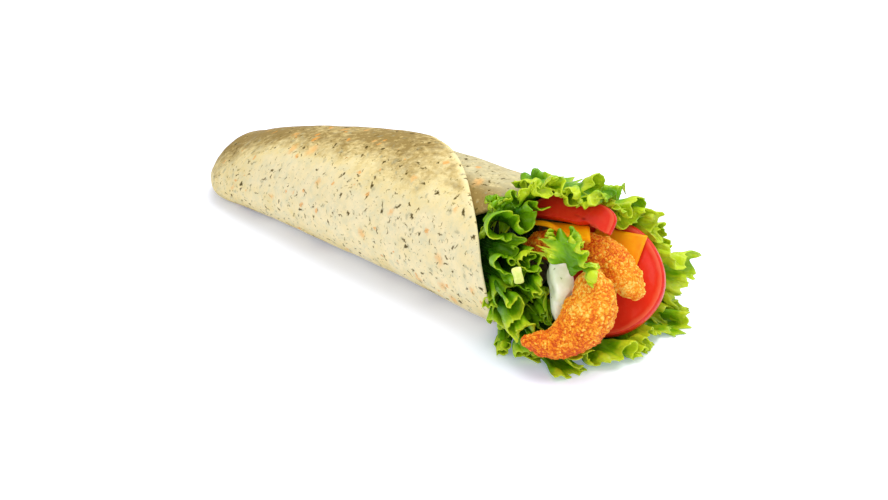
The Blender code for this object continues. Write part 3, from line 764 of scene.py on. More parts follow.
def to_filling(points, name):
    """Distance from points to the named filling."""
    if name == "sauce":
        return to_sauce(points)
    if name in SHRIMPS:
        return to_chain(points, name)
    if name in CHEESE:
        return to_slice(points, name)
    if name == "tomato_right":
        return to_disc(points, TOMATO_MIDDLE, TOMATO_FACING, TOMATO_RADIUS * 1.02, TOMATO_THICK)
    axes = frame_of(SEGMENT_FACING)
    middle = np.array(SEGMENT_MIDDLE) + axes[1] * (SEGMENT_DEPTH - SEGMENT_SAG / 2) / 2
    middle = middle + axes[0] * SEGMENT_TAPER / 2
    size = (2 * SEGMENT_HALF - SEGMENT_TAPER, SEGMENT_DEPTH + SEGMENT_SAG / 2, SEGMENT_THICK)
    return to_box(points, middle, axes, size)


def clear_of_fillings(points, margin, names=FILLINGS):
    """Moves points straight out of each filling until they clear it by the margin."""
    points = points.copy()
    for _ in range(3):
        for name in names:
            near = to_filling(points, name)
            close = near < margin
            if not close.any():
                continue
            spot = points[close]
            here = near[close]
            step = 0.05
            slope = np.stack([to_filling(spot + step * axis, name) - here
                              for axis in np.eye(3)], -1) / step
            points[close] = spot + unit(slope) * (margin - here)[..., None]
    return points


# Lettuce


def ruffle(at, waves, swing, seed):
    """Offsets along and across a leaf's margin, as shares of its length, for a meander: the
    margin's direction swings as a sine of its length, faster in some places than in others.
    at runs 0 to 1 along each row of the leaf; swing is in radians, one for each row."""
    drawn = np.random.default_rng(seed).uniform(0, 2 * np.pi, 4)
    fine = np.linspace(0, 1, max(600, int(waves * 30)))
    speed = 1 + 0.3 * np.sin(2 * np.pi * 1.7 * fine + drawn[0])
    speed = speed + 0.2 * np.sin(2 * np.pi * 4.3 * fine + drawn[1])
    phase = 2 * np.pi * waves * np.cumsum(speed) / speed.sum() + drawn[3]
    wide = swing[:, None] * (1 + 0.2 * np.sin(2 * np.pi * 2.3 * fine + drawn[2]))
    turn = wide * np.sin(phase)
    along = np.cumsum(np.cos(turn), axis=1)
    across = np.cumsum(np.sin(turn), axis=1) / along[:, -1:]
    along = along / along[:, -1:] - fine
    across = across - fine * across[:, -1:]
    across = across - across.mean(axis=1, keepdims=True)
    shift = [np.interp(row_at, fine, row) for row_at, row in zip(at, along)]
    lift = [np.interp(row_at, fine, row) for row_at, row in zip(at, across)]
    return np.array(shift), np.array(lift)


LOBES = 0.05  # how much longer a leaf is at its lobes, as a share


def ring_base(u, v, leaf):
    """A leaf's smooth middle: a flaring cone round the roll's axis that spreads on the
    table where it would go below it."""
    first, last = leaf["angles"]
    angle = np.radians(first + (last - first) * u)
    end = curve(u, np.linspace(0, 1, len(leaf["ends"])), leaf["ends"])
    outer = curve(u, np.linspace(0, 1, len(leaf["outer"])), leaf["outer"])
    tips = 1 + LOBES * np.sin(2 * np.pi * (2.2 * u + leaf["seed"] * 0.37))
    x = leaf["start"] + (end - leaf["start"]) * v * tips
    past = np.maximum(x - leaf["mouth"], 0) / (end - leaf["mouth"])
    r = leaf["inner"] + (outer - leaf["inner"]) * past ** leaf["flare"]
    z = AXIS_HEIGHT + r * np.sin(angle)
    z = leaf["floor"] + 1.5 * np.logaddexp(0, (z - leaf["floor"]) / 1.5)
    return np.stack([x + 0 * v, r * np.cos(angle), z], -1)


def patch_base(u, v, leaf):
    """A leaf's smooth middle between four corners, with a bow across it."""
    a, b, c, d = (np.array(corner, float) for corner in leaf["corners"])
    u, v = u[..., None], v[..., None]
    flat = (1 - v) * ((1 - u) * a + u * b) + v * ((1 - u) * d + u * c)
    return flat + np.array(leaf["bow"]) * 4 * u * (1 - u) * v


def slide(grid, shift):
    """Moves each row's points along the row by shares of its length."""
    u = np.linspace(0, 1, grid.shape[1])
    at = np.clip(u + shift, 0, 1)
    return np.stack([[np.interp(at[i], u, row[:, k]) for i, row in enumerate(grid)]
                     for k in range(3)], -1)


def teeth(along, size, seed):
    """The jagged outline of a margin, -1 to 1: its points are where smooth noise along the
    margin passes zero, and its rounded notches lie between them."""
    line = np.stack([along, 0 * along, 0 * along], -1)
    return 1 - 2.6 * np.abs(noise(line, size, seed))


def row_lengths(grid):
    """Length of each row of a grid."""
    return np.linalg.norm(np.diff(grid, axis=1), axis=-1).sum(axis=1)[:, None, None]


# mm of margin in one fold, its swing in radians, and where down the leaf it starts
FRILLS = ((12.0, 1.15, 0.35), (7.5, 0.7, 0.68))
# mm that the margin's teeth stand out, and their spacing; mm of pucker, and its size
TEETH = ((1.3, 6.5), (0.8, 2.9))
PUCKER = ((0.7, 6), (0.35, 2.6))
ROOT_TEETH = 1.8  # times that, at the root of a loose piece of leaf
MARGIN_REACH = 30  # mm from the margin to the darkest green, which is painted shade
SIDE_FRILL = 2.6  # mm that the side edges of a loose piece of leaf wave up and down
VEIN_PACE = 0.45  # what the veins' number grows by for each mm along the margin


def meander(leaf, u, v):
    """A leaf's smooth middle, moved along and across its margin by a large meander. The
    side edges of a loose piece wave as well."""
    middle = patch_base if "corners" in leaf else ring_base
    strength = leaf["swing"] * smooth((v[:, 0] - leaf["calm"]) / (1 - leaf["calm"]))
    shift, lift = ruffle(u, leaf["waves"], strength, leaf["seed"])
    even = middle(u, v, leaf)
    grid = middle(u + shift, v, leaf) + normals(even) * lift[..., None] * row_lengths(even)
    if "corners" in leaf:
        side = smooth((np.abs(2 * u - 1) - 0.3) / 0.7)
        wave = np.sin(2 * np.pi * 2.6 * v + 2.5 * u + 1)
        grid = grid + normals(grid) * (SIDE_FRILL * side * wave)[..., None]
    return even, grid


def frill(grid, leaf, u, v):
    """Smaller and smaller meanders nearer the margin, whose folds wander."""
    for number, (wave, swing, start) in enumerate(FRILLS):
        length = row_lengths(grid)
        folds = length[-1, 0, 0] / (wave * leaf["frill"])
        phase = leaf["seed"] + 2.1 * number
        drift = np.sin(2 * np.pi * (0.8 * v + 1.7 * u) + phase)
        drift = drift + 0.6 * np.sin(2 * np.pi * (1.9 * v - 3.1 * u) + 2 * phase)
        at = np.clip(u + 0.8 / folds * drift * (1 - v), 0, 1)
        small = swing * smooth((v[:, 0] - start) / (0.97 - start))
        shift, lift = ruffle(at, folds, small, leaf["seed"] + 50 + number)
        grid = slide(grid + normals(grid) * lift[..., None] * length, shift)
    return grid


def leaf_grid(leaf, columns, rows):
    """Middle surface of a leaf: the frilled middle with a toothed margin and puckered flesh,
    clear of the fillings and the table. Also how near each point is to the margin, 1 at it,
    and the length along the margin."""
    v = np.linspace(0, 1, rows)[:, None] ** 0.75 + np.zeros(columns)
    u = np.linspace(0, 1, columns) + 0 * v
    even, grid = meander(leaf, u, v)
    grid = frill(grid, leaf, u, v)
    down = unit(np.gradient(grid, axis=0))
    steps = np.diff(grid[-1:], axis=1, prepend=grid[-1:, :1])
    along = np.cumsum(np.linalg.norm(steps, axis=-1), axis=1)
    toothed = sum(size * teeth(along, spacing, leaf["seed"] + 1 - number)
                  for number, (size, spacing) in enumerate(TEETH))
    grid = grid + down * (leaf["frill"] * toothed * smooth((v - 0.5) / 0.5))[..., None]
    if "corners" in leaf:
        grid = grid - down * (ROOT_TEETH * toothed * smooth(1 - v / 0.4))[..., None]
    pucker = sum(size * noise(grid, spacing, leaf["seed"] + 2 + number)
                 for number, (size, spacing) in enumerate(PUCKER))
    grid = grid + normals(grid) * (pucker * smooth((v - 0.1) / 0.4))[..., None]
    grid = clear_of_fillings(grid, LEAF / 2 + leaf["clear"])
    grid[..., 2] = np.maximum(grid[..., 2], TABLE_CLEARANCE + 0.3 * v)
    steps = np.linalg.norm(np.diff(even, axis=0, append=even[-1:]), axis=-1)
    left = np.cumsum(steps[::-1], axis=0)[::-1]
    if "corners" in leaf:
        left = np.minimum(left, left[:1] - left)
    # The green darkens with distance from the margin: painted shade, deepest in the bunch
    margin = np.clip(leaf["tone"] - left / MARGIN_REACH, leaf["deep"], 1)
    return grid, margin, along + 0 * v


def ring_leaf(angles, start, ends, inner, outer, waves, swing, seed, **given):
    """A leaf that stands round the open end between two angles. Its margin's x (ends) and
    its distance from the roll's axis (outer) are given at even steps between them."""
    # tone lifts a leaf's whole green towards its margin colour and so sets how much painted shade
    # it takes; deep is the least value, which keeps it from the darkest painted shade
    usual = dict(flare=1.0, calm=0.4, floor=1.0, clear=0.9, mouth=MOUTH, tone=1.0, frill=1.0,
                 deep=0.0)
    return dict(usual, angles=angles, start=start, ends=ends, inner=inner, outer=outer,
                waves=waves, swing=swing, seed=seed, **given)


def patch_leaf(corners, bow, waves, swing, seed, **given):
    """A loose piece of leaf between four corners, bowed by a vector across its middle."""
    # tone and deep set the painted shade of a loose piece as they do for a ring leaf
    usual = dict(calm=0.0, clear=0.8, tone=1.0, frill=0.9, deep=0.0)
    return dict(usual, corners=corners, bow=bow, waves=waves, swing=swing, seed=seed, **given)


# piece, the node that it stands for, columns and rows, leaf. The bunch is the near side's,
# and the folded leaves are pieces that lie over the slices and over the near rim.
LEAVES = (
    # the bunch's leaves take lower tones, so more painted shade
    ("bunch_leaf_1", "lettuce", (400, 48), ring_leaf(
        (108, 222), 174, (229, 222, 228), 25.5, (33, 33, 36), 5.2, 1.35, 11, calm=0.35,
        clear=1.5, mouth=205, tone=0.9, frill=1.3)),
    ("bunch_leaf_2", "lettuce", (400, 48), ring_leaf(
        (142, 226), 174, (229, 233), 18, (26, 29), 3.6, 1.3, 14, calm=0.3, clear=2.1,
        mouth=204, tone=0.9, frill=1.2)),
    ("bunch_leaf_3", "lettuce", (400, 48), ring_leaf(
        (150, 214), 182, (237, 240, 237), 12, (25, 28), 3, 1.3, 23, calm=0.35, clear=2.4,
        mouth=208, tone=0.94, frill=1.2)),
    ("bunch_leaf_4", "lettuce", (400, 48), ring_leaf(
        (180, 238), 172, (231, 243, 237), 28, (39, 43, 44), 3.6, 1.3, 17, calm=0.35,
        floor=4, clear=2.7, frill=1.3)),
    ("bunch_leaf_5", "lettuce", (400, 48), ring_leaf(
        (192, 228), 178, (219, 222, 228), 27, (36, 41, 52), 3.4, 1.25, 29, calm=0.3,
        floor=2.5, clear=1.5, tone=0.95, frill=1.1)),
    ("folded_leaf_1", "leaf_top", (260, 48), patch_leaf(
        ((206, 8, 67), (250, 13, 69), (251, -2, 68.5), (207, -10, 65)), (0, -3, 2.5),
        4.2, 1.2, 35)),
    ("folded_leaf_2", "lettuce", (260, 48), patch_leaf(
        ((200, -22, 46), (213, -17, 50), (214, -13, 64), (203, -20.5, 60)), (0, -2, 2),
        1.2, 0.9, 41, calm=0.2, tone=0.95, deep=0.2)),
    ("leaf_top_frilled", "leaf_top", (600, 56), ring_leaf(
        (121, 42), 204, (225, 231, 241, 246, 246), 27.6, (46, 45, 39.5, 36, 33), 4.6, 1.25, 3,
        flare=0.75, clear=1.5, tone=1.12, deep=0.35)),
    ("leaf_far_frilled", "leaf_far", (600, 56), ring_leaf(
        (52, -47), 204, (246, 252, 257, 261, 262), 27.6, (35, 38, 44, 47, 45), 4.4, 1.3, 5,
        tone=1.2, frill=1.3, deep=0.35)),
    ("leaf_bottom_frilled", "leaf_bottom", (600, 56), ring_leaf(
        (-28, -138), 204, (261, 269, 270, 268, 256), 27.5, (50, 47, 38, 50, 49), 5.6, 1.25, 8,
        floor=3, clear=1.1, tone=1.08, frill=1.25, deep=0.3)),
    ("leaf_middle_frilled", "leaf_middle", (200, 56), patch_leaf(
        ((238, -27, 49), (236.7, -21.5, 56.5), (248, -14.5, 58.5), (263.5, -19, 41.5)),
        (5, -5, 3), 1.4, 0.8, 21, calm=0.3, clear=1.4, deep=0.15)),
)


def leaf_material(wrap):
    """Green leaf lettuce, fresh: a thin waxy blade that lets light through, yellow-green at its
    frilly margin and greener in the blade, with painted shade that darkens it away from the
    margin, deepest in the bunch, and with fine pale veins."""
    material, tree, shader = new_material("Fresh curly lettuce", Roughness=0.27, IOR=1.45,
                                          Specular_IOR_Level=0.5)
    place = add(tree, "TexCoord").outputs["Object"]
    margin, across = (add(tree, "Attribute", attribute_name=name).outputs["Fac"]
                      for name in ("margin", "across"))
    shade = wander(tree, place, {"Scale": 1 / (11 * MM), "Detail": 3.0}, 0.3, 0.7, -0.13, 0.13)
    tone = add(tree, "Math", {0: margin, 1: shade}, operation="ADD", use_clamp=True)
    # the lowest stop is the darkest green, painted shade away from the margin
    colour = add(tree, "ValToRGB", {0: tone}, stops=(
        (0.1, wrap.leaf_painted_shade), (0.5, wrap.leaf_middle), (0.84, wrap.leaf_light),
        (0.98, wrap.leaf_margin)))
    bends = add(tree, "TexNoise", {"Vector": place, "Scale": 1 / (7 * MM), "Detail": 2.0})
    bent = add(tree, "Math", {0: bends, 1: 3.5, 2: across}, operation="MULTIPLY_ADD")
    ridge = add(tree, "Math", {0: bent, 1: 1.0}, operation="PINGPONG")
    vein = add(tree, "MapRange", {"Value": ridge, "From Min": 0.0, "From Max": 0.12,
                                  "To Min": 0.3, "To Max": 0.0})
    colour = add(tree, "Mix", {0: vein, 6: colour, 7: wrap.leaf_vein},
                 data_type="RGBA").outputs[2]
    crinkle = add(tree, "TexNoise", {"Vector": place, "Scale": 1 / (2.2 * MM), "Detail": 3.0})
    height = add(tree, "Math", {0: vein, 1: -0.8, 2: crinkle}, operation="MULTIPLY_ADD")
    bump = surface(tree, shader, colour, height, 0.7, 0.7)
    glow = add(tree, "BsdfTranslucent", {"Color": colour, "Normal": bump})
    both = add(tree, "MixShader", {0: 0.25, 1: shader, 2: glow})
    link(tree, both, tree.nodes["Material Output"].inputs["Surface"])
    return material


def rib_material(wrap):
    """The crisp pale rib of a lettuce leaf, cut across: juicy and faintly see-through."""
    material, tree, shader = new_material(
        "Lettuce rib", Roughness=0.3, IOR=1.4, Subsurface_Weight=0.3,
        Subsurface_Radius=(1.0, 1.0, 0.4), Subsurface_Scale=LIGHT_DEPTH)
    place = add(tree, "TexCoord").outputs["Object"]
    surface(tree, shader, patches(tree, place, 3, 3.0, (0.4, wrap.rib_green), (0.6, wrap.rib)))
    return material


def make_leaf(name, leaf, columns, rows, material):
    """A thin closed sheet round a leaf's middle surface."""
    grid, margin, along = leaf_grid(leaf, columns, rows)
    half = normals(grid) * LEAF / 2
    points, faces, border = sheet_mesh(grid + half, grid - half, LEAF / 3)
    values = {"margin": sheet_values(margin, border),
              "across": sheet_values(along * VEIN_PACE, border)}
    return add_piece(name, points, faces, [material], values=values)


STEM_PLACE = (232.5, -34.5, 40)
STEM_AXES = ((-0.44, 0.17, 0.88), (0.64, 0.74, 0.18), (0.63, -0.65, 0.43))
STEM_SIZE = (7.4, 4.4, 2.4)


def make_stem(material):
    """A cut piece of a leaf's pale rib: a box with rounded edges, slightly bent."""
    rows, columns = 40, 48
    turn = np.radians(round_steps(columns))[None, :, None]
    steps = np.linspace(-1, 1, rows)[:, None, None]
    close = np.clip(1 - np.abs(steps) ** 12, 0.02, 1) ** 0.5
    c, s = np.cos(turn), np.sin(turn)
    size = (np.abs(c) ** 4 + np.abs(s) ** 4) ** -0.25 / 2
    long, wide, thick = (unit(axis) * reach for axis, reach in zip(STEM_AXES, STEM_SIZE))
    rings = np.array(STEM_PLACE) + steps / 2 * long + size * close * (c * wide + s * thick)
    rings = rings + thick * 0.3 * (1 - steps**2) + 0.25 * noise(rings, 3, 91)[..., None]
    points, faces = tube_mesh(rings)
    values = {"margin": np.full(len(points), 1.0), "across": points[:, 0] * 0.3}
    return add_piece("leaf_rib", points, faces, [material], values=values)


def make_core(material):
    """Lettuce packed inside the roll: rings inside the inner layer with a domed, uneven
    front, coloured near the darkest green as painted shade."""
    rows, dome_rows, columns = 60, 24, 160
    angle = round_steps(columns)[None, :]
    x = np.linspace(8, CORE_SHOULDER, rows)[:, None]
    base = roll_surface(x, angle)
    side = base - normals(base, closed=True) * (SHEET + CORE_GAP)
    middle = side[-1].mean(axis=0)
    turn = np.radians(np.linspace(8, 84, dome_rows))[:, None, None]
    dome = middle + (side[-1] - middle) * np.cos(turn)
    dome = dome + np.array([CORE_RISE, 0, 0]) * np.sin(turn)
    dome = dome + 2.4 * (noise(dome, 7, 31) - 0.6)[..., None] * [1, 0, 0]
    points, faces = tube_mesh(np.concatenate([side, dome]))
    # A low nearness to the margin gives it the darkest green: painted shade inside the roll
    values = {"margin": np.full(len(points), 0.1), "across": points[:, 1] * 0.3}
    return add_piece("lettuce_core", points, faces, [material], values=values)


# Breaded shrimps


def crumb_bumps(points, size, depth):
    """Crust relief: three crossing waves of about the size of a crumb cluster."""
    p = points / size
    wave = np.sin(p[..., 0] * 5.1 + 1.3 * np.sin(p[..., 1] * 3.7))
    wave = wave * np.sin(p[..., 1] * 4.7 + 1.1 * np.sin(p[..., 2] * 4.1))
    wave = wave + 0.6 * np.sin(p[..., 2] * 6.3 + 2 * np.sin(p[..., 0] * 3.1))
    return depth * wave


# The crust's clumps, crumbs and grit: their size in mm and seed, the mm that they stand
# proud, and their share in how raised a spot is, which paints it lighter as painted light on
# raised crumbs and painted shade between them, and in how light a spot looks at random
CRUST = ((3.8, 41, 0.6, 0.3, 0.0), (1.5, 47, 0.75, 0.8, 0.4), (0.75, 53, 0.5, 0.5, 0.6))
END_SHARE = 0.03  # share of the path in each half-round end


def make_shrimp(name, rows, columns, material):
    """A tube along the curled path, closed by half-round ends, with its crust raised in
    clumps, crumbs and fine grit."""
    path, radius = shrimp_path(name, rows)
    ends = np.linspace(0, 1, rows)[:, None]
    near = np.minimum(ends, 1 - ends) / END_SHARE
    radius = radius[:, None] * np.sqrt(np.clip(1 - (1 - np.minimum(near, 1)) ** 2, 0.02, 1))
    along = unit(np.gradient(path, axis=0))
    facing = unit(SHRIMPS[name][1])
    side = np.cross(facing, along)
    turn = np.radians(round_steps(columns))[:, None]
    out = np.cos(turn) * side[:, None] + np.sin(turn) * 0.92 * facing
    rings = path[:, None] + out * radius[..., None]
    shaken = rings + 0.5 * np.stack([noise(rings, 1.4, 43 + k) for k in range(3)], -1)
    relief = crumb_bumps(rings, 7, 0.3)
    raised, light = np.zeros(relief.shape), np.zeros(relief.shape)
    for size, seed, proud, raising, lightening in CRUST:
        height, tint = grains(shaken, size, seed)
        relief = relief + proud * height
        raised = raised + raising * height
        light = light + lightening * tint
    uneven = noise(rings, 2.2, 59)
    relief = relief + 0.35 * uneven - 0.5
    rings = rings + out * (relief * smooth(near))[..., None]
    points, faces = tube_mesh(rings)
    # raised paints raised crumbs lighter and the hollows between them darker: painted light and
    # shade
    values = {
        "crumb": tube_values(light),
        "raised": tube_values(np.clip(raised + 0.25 * uneven, 0, 1)),
        # redder towards the tail end, and darker on the downward-facing underside as painted
        # shade
        "tail": tube_values(1 - ends + 0.6 * smooth(0.1 - 1.3 * out[..., 2])),
    }
    return add_piece(name + "_crust", points, faces, [material], values=values)


def crust_material(wrap):
    """Fried breadcrumb coating: dry crumbs a millimetre or two across, golden where they
    stand proud and deep orange to red-brown between them, partly their own colour and partly
    painted light on the raised crumbs and painted shade between them and on the underside."""
    material, tree, shader = new_material("Fried breadcrumb crust", Roughness=0.45, IOR=1.46,
                                          Specular_IOR_Level=0.3)
    place = add(tree, "TexCoord").outputs["Object"]
    level = add(tree, "TexNoise", {"Vector": place, "Scale": 1 / (9 * MM), "Detail": 2.0})
    # raised adds painted light on raised crumbs; the tail value takes away towards the tail end
    # and, as painted shade, on the underside
    for name, weight in (("crumb", 0.95), ("raised", 0.5), ("tail", -0.5)):
        part = add(tree, "Attribute", attribute_name=name).outputs["Fac"]
        level = add(tree, "Math", {0: part, 1: weight, 2: level}, operation="MULTIPLY_ADD")
    level = add(tree, "MapRange", {"Value": level, "From Min": 0.05, "From Max": 1.3})
    colour = add(tree, "ValToRGB", {0: level}, stops=(
        (0.0, wrap.crust_dark), (0.35, wrap.crust), (0.65, wrap.crust_golden),
        (1.0, wrap.crust_light)))
    grit = add(tree, "TexNoise", {"Vector": place, "Scale": 1 / (0.5 * MM), "Detail": 3.0})
    surface(tree, shader, colour, grit, 0.8, 0.7)
    return material


# Slices


FACE_RINGS = 40
RIM_RINGS = 15


def make_slice(name, outline, middle, facing, thick, round_off, materials, relief):
    """A slice between two flat faces: its outline shrunk towards its centre across each
    face, and carried round a rim that is part of a superellipse."""
    level, up, facing = frame_of(facing)
    centre = outline.mean(axis=0)
    reach = np.linalg.norm(outline - centre, axis=1)[None, :]
    steps = np.linspace(0.04, 1, FACE_RINGS)
    turn = np.linspace(0, np.pi, RIM_RINGS + 2)[1:-1]
    face = np.ones(FACE_RINGS)
    share = np.concatenate([steps, np.ones(RIM_RINGS), steps[::-1]])[:, None]
    height = np.concatenate([face / 2, np.cos(turn) / 2, -face / 2])[:, None]
    pull = np.concatenate([face, 1 - np.sin(turn) ** 0.6, face])[:, None]
    share = share * (1 - round_off * pull / reach)
    flat = centre + (outline - centre)[None] * share[..., None]
    rings = np.array(middle) + flat[..., :1] * level + flat[..., 1:] * up
    rings = rings + (height * (thick + 2 * relief(rings, share)))[..., None] * facing
    points, faces = tube_mesh(rings)
    count = len(outline)
    skin = np.repeat([0, 1, 0], [FACE_RINGS - 1, RIM_RINGS + 1, FACE_RINGS - 1])
    finish = np.concatenate([np.repeat(skin, count), np.zeros(2 * count, int)])
    values = {"rim": tube_values(share + 0 * reach)}
    return add_piece(name, points, faces, materials, values=values, finish=finish)


def tomato_materials(wrap):
    """Ripe tomato: wet cut flesh, paler towards the skin, and a smooth tight glossy skin."""
    flesh, tree, shader = new_material(
        "Cut tomato flesh", Roughness=0.22, IOR=1.36, Subsurface_Weight=0.15,
        Subsurface_Radius=(1.0, 0.3, 0.15), Subsurface_Scale=LIGHT_DEPTH)
    place = add(tree, "TexCoord").outputs["Object"]
    rim = add(tree, "Attribute", attribute_name="rim").outputs["Fac"]
    cloud, fibre = (add(tree, "TexNoise", {"Vector": place, "Scale": 1 / (size * MM),
                                           "Detail": 4.0}) for size in (7, 2))
    wavy = add(tree, "Math", {0: cloud, 1: 0.12, 2: rim}, operation="MULTIPLY_ADD")
    colour = add(tree, "ValToRGB", {0: wavy}, stops=(
        (0.0, wrap.tomato), (0.93, wrap.tomato), (1.0, wrap.tomato_pale)))
    wet = add(tree, "MapRange", {"Value": fibre, "From Min": 0.5, "From Max": 0.75,
                                 "To Min": 0.0, "To Max": 0.4})
    colour = add(tree, "Mix", {0: wet, 6: colour, 7: wrap.tomato_wet}, data_type="RGBA")
    surface(tree, shader, colour.outputs[2], fibre, 0.3, 0.3)

    skin, tree, shader = new_material("Tomato skin", Roughness=0.24, IOR=1.36)
    place = add(tree, "TexCoord").outputs["Object"]
    surface(tree, shader, patches(tree, place, 1.6, 3.0, (0.35, wrap.tomato_skin),
                                  (0.75, wrap.tomato)))
    return [flesh, skin]


def cheese_material(wrap):
    """Sliced semi-soft yellow cheese: smooth, slightly greasy and faintly see-through."""
    material, tree, shader = new_material(
        "Sliced yellow cheese", Roughness=0.4, IOR=1.45, Specular_IOR_Level=0.25,
        Subsurface_Weight=0.2, Subsurface_Radius=(1.0, 0.5, 0.1), Subsurface_Scale=LIGHT_DEPTH)
    place = add(tree, "TexCoord").outputs["Object"]
    colour = patches(tree, place, 6, 4.0, (0.3, wrap.cheese), (0.7, wrap.cheese_light))
    fine = add(tree, "TexNoise", {"Vector": place, "Scale": 1 / (1.2 * MM), "Detail": 3.0})
    surface(tree, shader, colour, fine, 0.25, 0.3)
    return material


def make_cheese(name, material):
    """A slice on a grid between its four corners, bent down at its free corner, with
    slightly uneven faces and soft edges."""
    rows, columns = 120, 80
    corner, first, second, long, short = CHEESE[name]
    a = np.linspace(0, long, rows)[:, None, None]
    b = np.linspace(0, short, columns)[None, :, None]
    grid = np.array(corner) + a * unit(first) + b * unit(second)
    grid = grid - [0, 0, 1] * cheese_droop(name, a, b)
    inward = np.minimum(np.minimum(a, long - a), np.minimum(b, short - b))
    half = CHEESE_THICK / 2 - 0.35 * (1 - smooth(inward / 0.8))
    half = normals(grid) * (half + 0.1 * noise(grid, 6, 61)[..., None])
    points, faces, _ = sheet_mesh(grid + half, grid - half, 0.3)
    return add_piece(name + "_slice", points, faces, [material])


def tomato_relief(rings, share):
    """Uneven flesh, sunk a little inside the firm wall at the skin."""
    return 0.18 * noise(rings, 5, 71) - 0.25 * smooth((0.93 - share) / 0.1)


OUTLINE_POINTS = 240


def make_tomato_right(materials):
    """A whole slice, not quite round: a circle with waves of three and five."""
    turn = np.radians(round_steps(OUTLINE_POINTS))
    size = TOMATO_RADIUS * (1 + 0.012 * np.cos(3 * turn + 0.6) + 0.008 * np.cos(5 * turn))
    outline = np.stack([size * np.cos(turn), size * np.sin(turn)], -1)
    return make_slice("tomato_right_slice", outline, TOMATO_MIDDLE, TOMATO_FACING,
                      TOMATO_THICK, 1.1, materials, tomato_relief)


def segment_outline(turn):
    """A superellipse above a cut edge that sags at the inner end and rises over the
    corner of the cheese."""
    c, s = np.cos(turn), np.sin(turn)
    power = np.where(c < 0, *SEGMENT_POWERS)
    size = (np.abs(c) ** power + np.abs(s) ** power) ** (-1 / power)
    across = SEGMENT_HALF * size * c
    sag = SEGMENT_SAG * (np.maximum(-across, 0) / SEGMENT_HALF) ** 1.5
    place, wide = SEGMENT_RISE_PLACE
    rise = SEGMENT_RISE * np.exp(-(((across - place) / wide) ** 2))
    above = np.where(s > 0, SEGMENT_DEPTH * size * s, size * s)
    return np.stack([across, above + (rise - sag) * (1 - np.maximum(s, 0))], -1)


def segment_relief(rings, share):
    """Uneven flesh, and faces that close in on each other towards the outer end."""
    across = (rings - np.array(SEGMENT_MIDDLE)) @ frame_of(SEGMENT_FACING)[0]
    return 0.15 * noise(rings, 5, 73) - 1.4 * smooth((across - 8) / 12)


def make_tomato_top(materials):
    """The end of a slice, cut along its lower edge."""
    outline = segment_outline(np.radians(round_steps(OUTLINE_POINTS)))
    return make_slice("tomato_top_slice", outline, SEGMENT_MIDDLE, SEGMENT_FACING,
                      SEGMENT_THICK, 0.8, materials, segment_relief)


def sauce_material(wrap):
    """Thick mayonnaise-like sauce: glossy, white with a green tinge, with chopped herbs."""
    material, tree, shader = new_material(
        "White herb sauce", Roughness=0.2, IOR=1.47, Subsurface_Weight=0.25,
        Subsurface_Radius=(1.0, 0.9, 0.6), Subsurface_Scale=LIGHT_DEPTH)
    place = add(tree, "TexCoord").outputs["Object"]
    colour = patches(tree, place, 5, 3.0, (0.35, wrap.sauce_shade), (0.65, wrap.sauce))
    wobble = add(tree, "TexNoise", {"Vector": place, "Scale": 1 / (1.2 * MM)})
    ragged = add(tree, "VectorMath", {0: wobble.outputs["Color"], 1: (1.6 * MM,) * 3, 2: place},
                 operation="MULTIPLY_ADD")
    spots = add(tree, "TexVoronoi", {"Vector": ragged, "Scale": 1 / (4.2 * MM)})
    draw = add(tree, "SeparateColor", {0: spots.outputs["Color"]})
    kept = add(tree, "Math", {0: draw, 1: 0.5}, operation="LESS_THAN")
    mask = add(tree, "MapRange", {"Value": spots.outputs["Distance"], "From Min": 0.06,
                                  "From Max": 0.15, "To Min": 0.7, "To Max": 0.0})
    share = add(tree, "Math", {0: mask, 1: kept}, operation="MULTIPLY")
    colour = add(tree, "Mix", {0: share, 6: colour, 7: wrap.sauce_herb}, data_type="RGBA")
    surface(tree, shader, colour.outputs[2])
    return material


def make_sauce(material):
    """A spoonful of thick sauce: an uneven ball, pressed between its neighbours."""
    rows, columns = 140, 200
    turn = np.radians(round_steps(columns))[None, :, None]
    lift = np.radians(np.linspace(-86, 86, rows))[:, None, None]
    level, up, facing = frame_of(SAUCE_FACING)
    wide = sauce_width(np.cos(turn), np.sin(lift))
    ball = np.cos(turn) * wide * level - np.sin(turn) * SAUCE_REACH[2] * facing
    ball = np.cos(lift) * ball + np.sin(lift) * SAUCE_REACH[1] * up
    points = np.array(SAUCE_MIDDLE) + ball
    points = points + ball * SAUCE_WAVES * np.sin(points[..., 2:] * 0.5 + points[..., :1] * 0.6)
    uneven = 0.7 * noise(points, 5.5, 81) + 0.2 * noise(points, 2, 82)
    points = points + unit(ball) * uneven[..., None]
    points = clear_of_fillings(points, 0.3, tuple(SHRIMPS))
    points, faces = tube_mesh(points)
    return add_piece("sauce_spoonful", points, faces, [material])


# Settings


def colour_property(name, description, value):
    """A colour setting whose default is an sRGB hex value."""
    return FloatVectorProperty(name=name, description=description, subtype="COLOR", size=4,
                               min=0.0, max=1.0, default=linear(value))


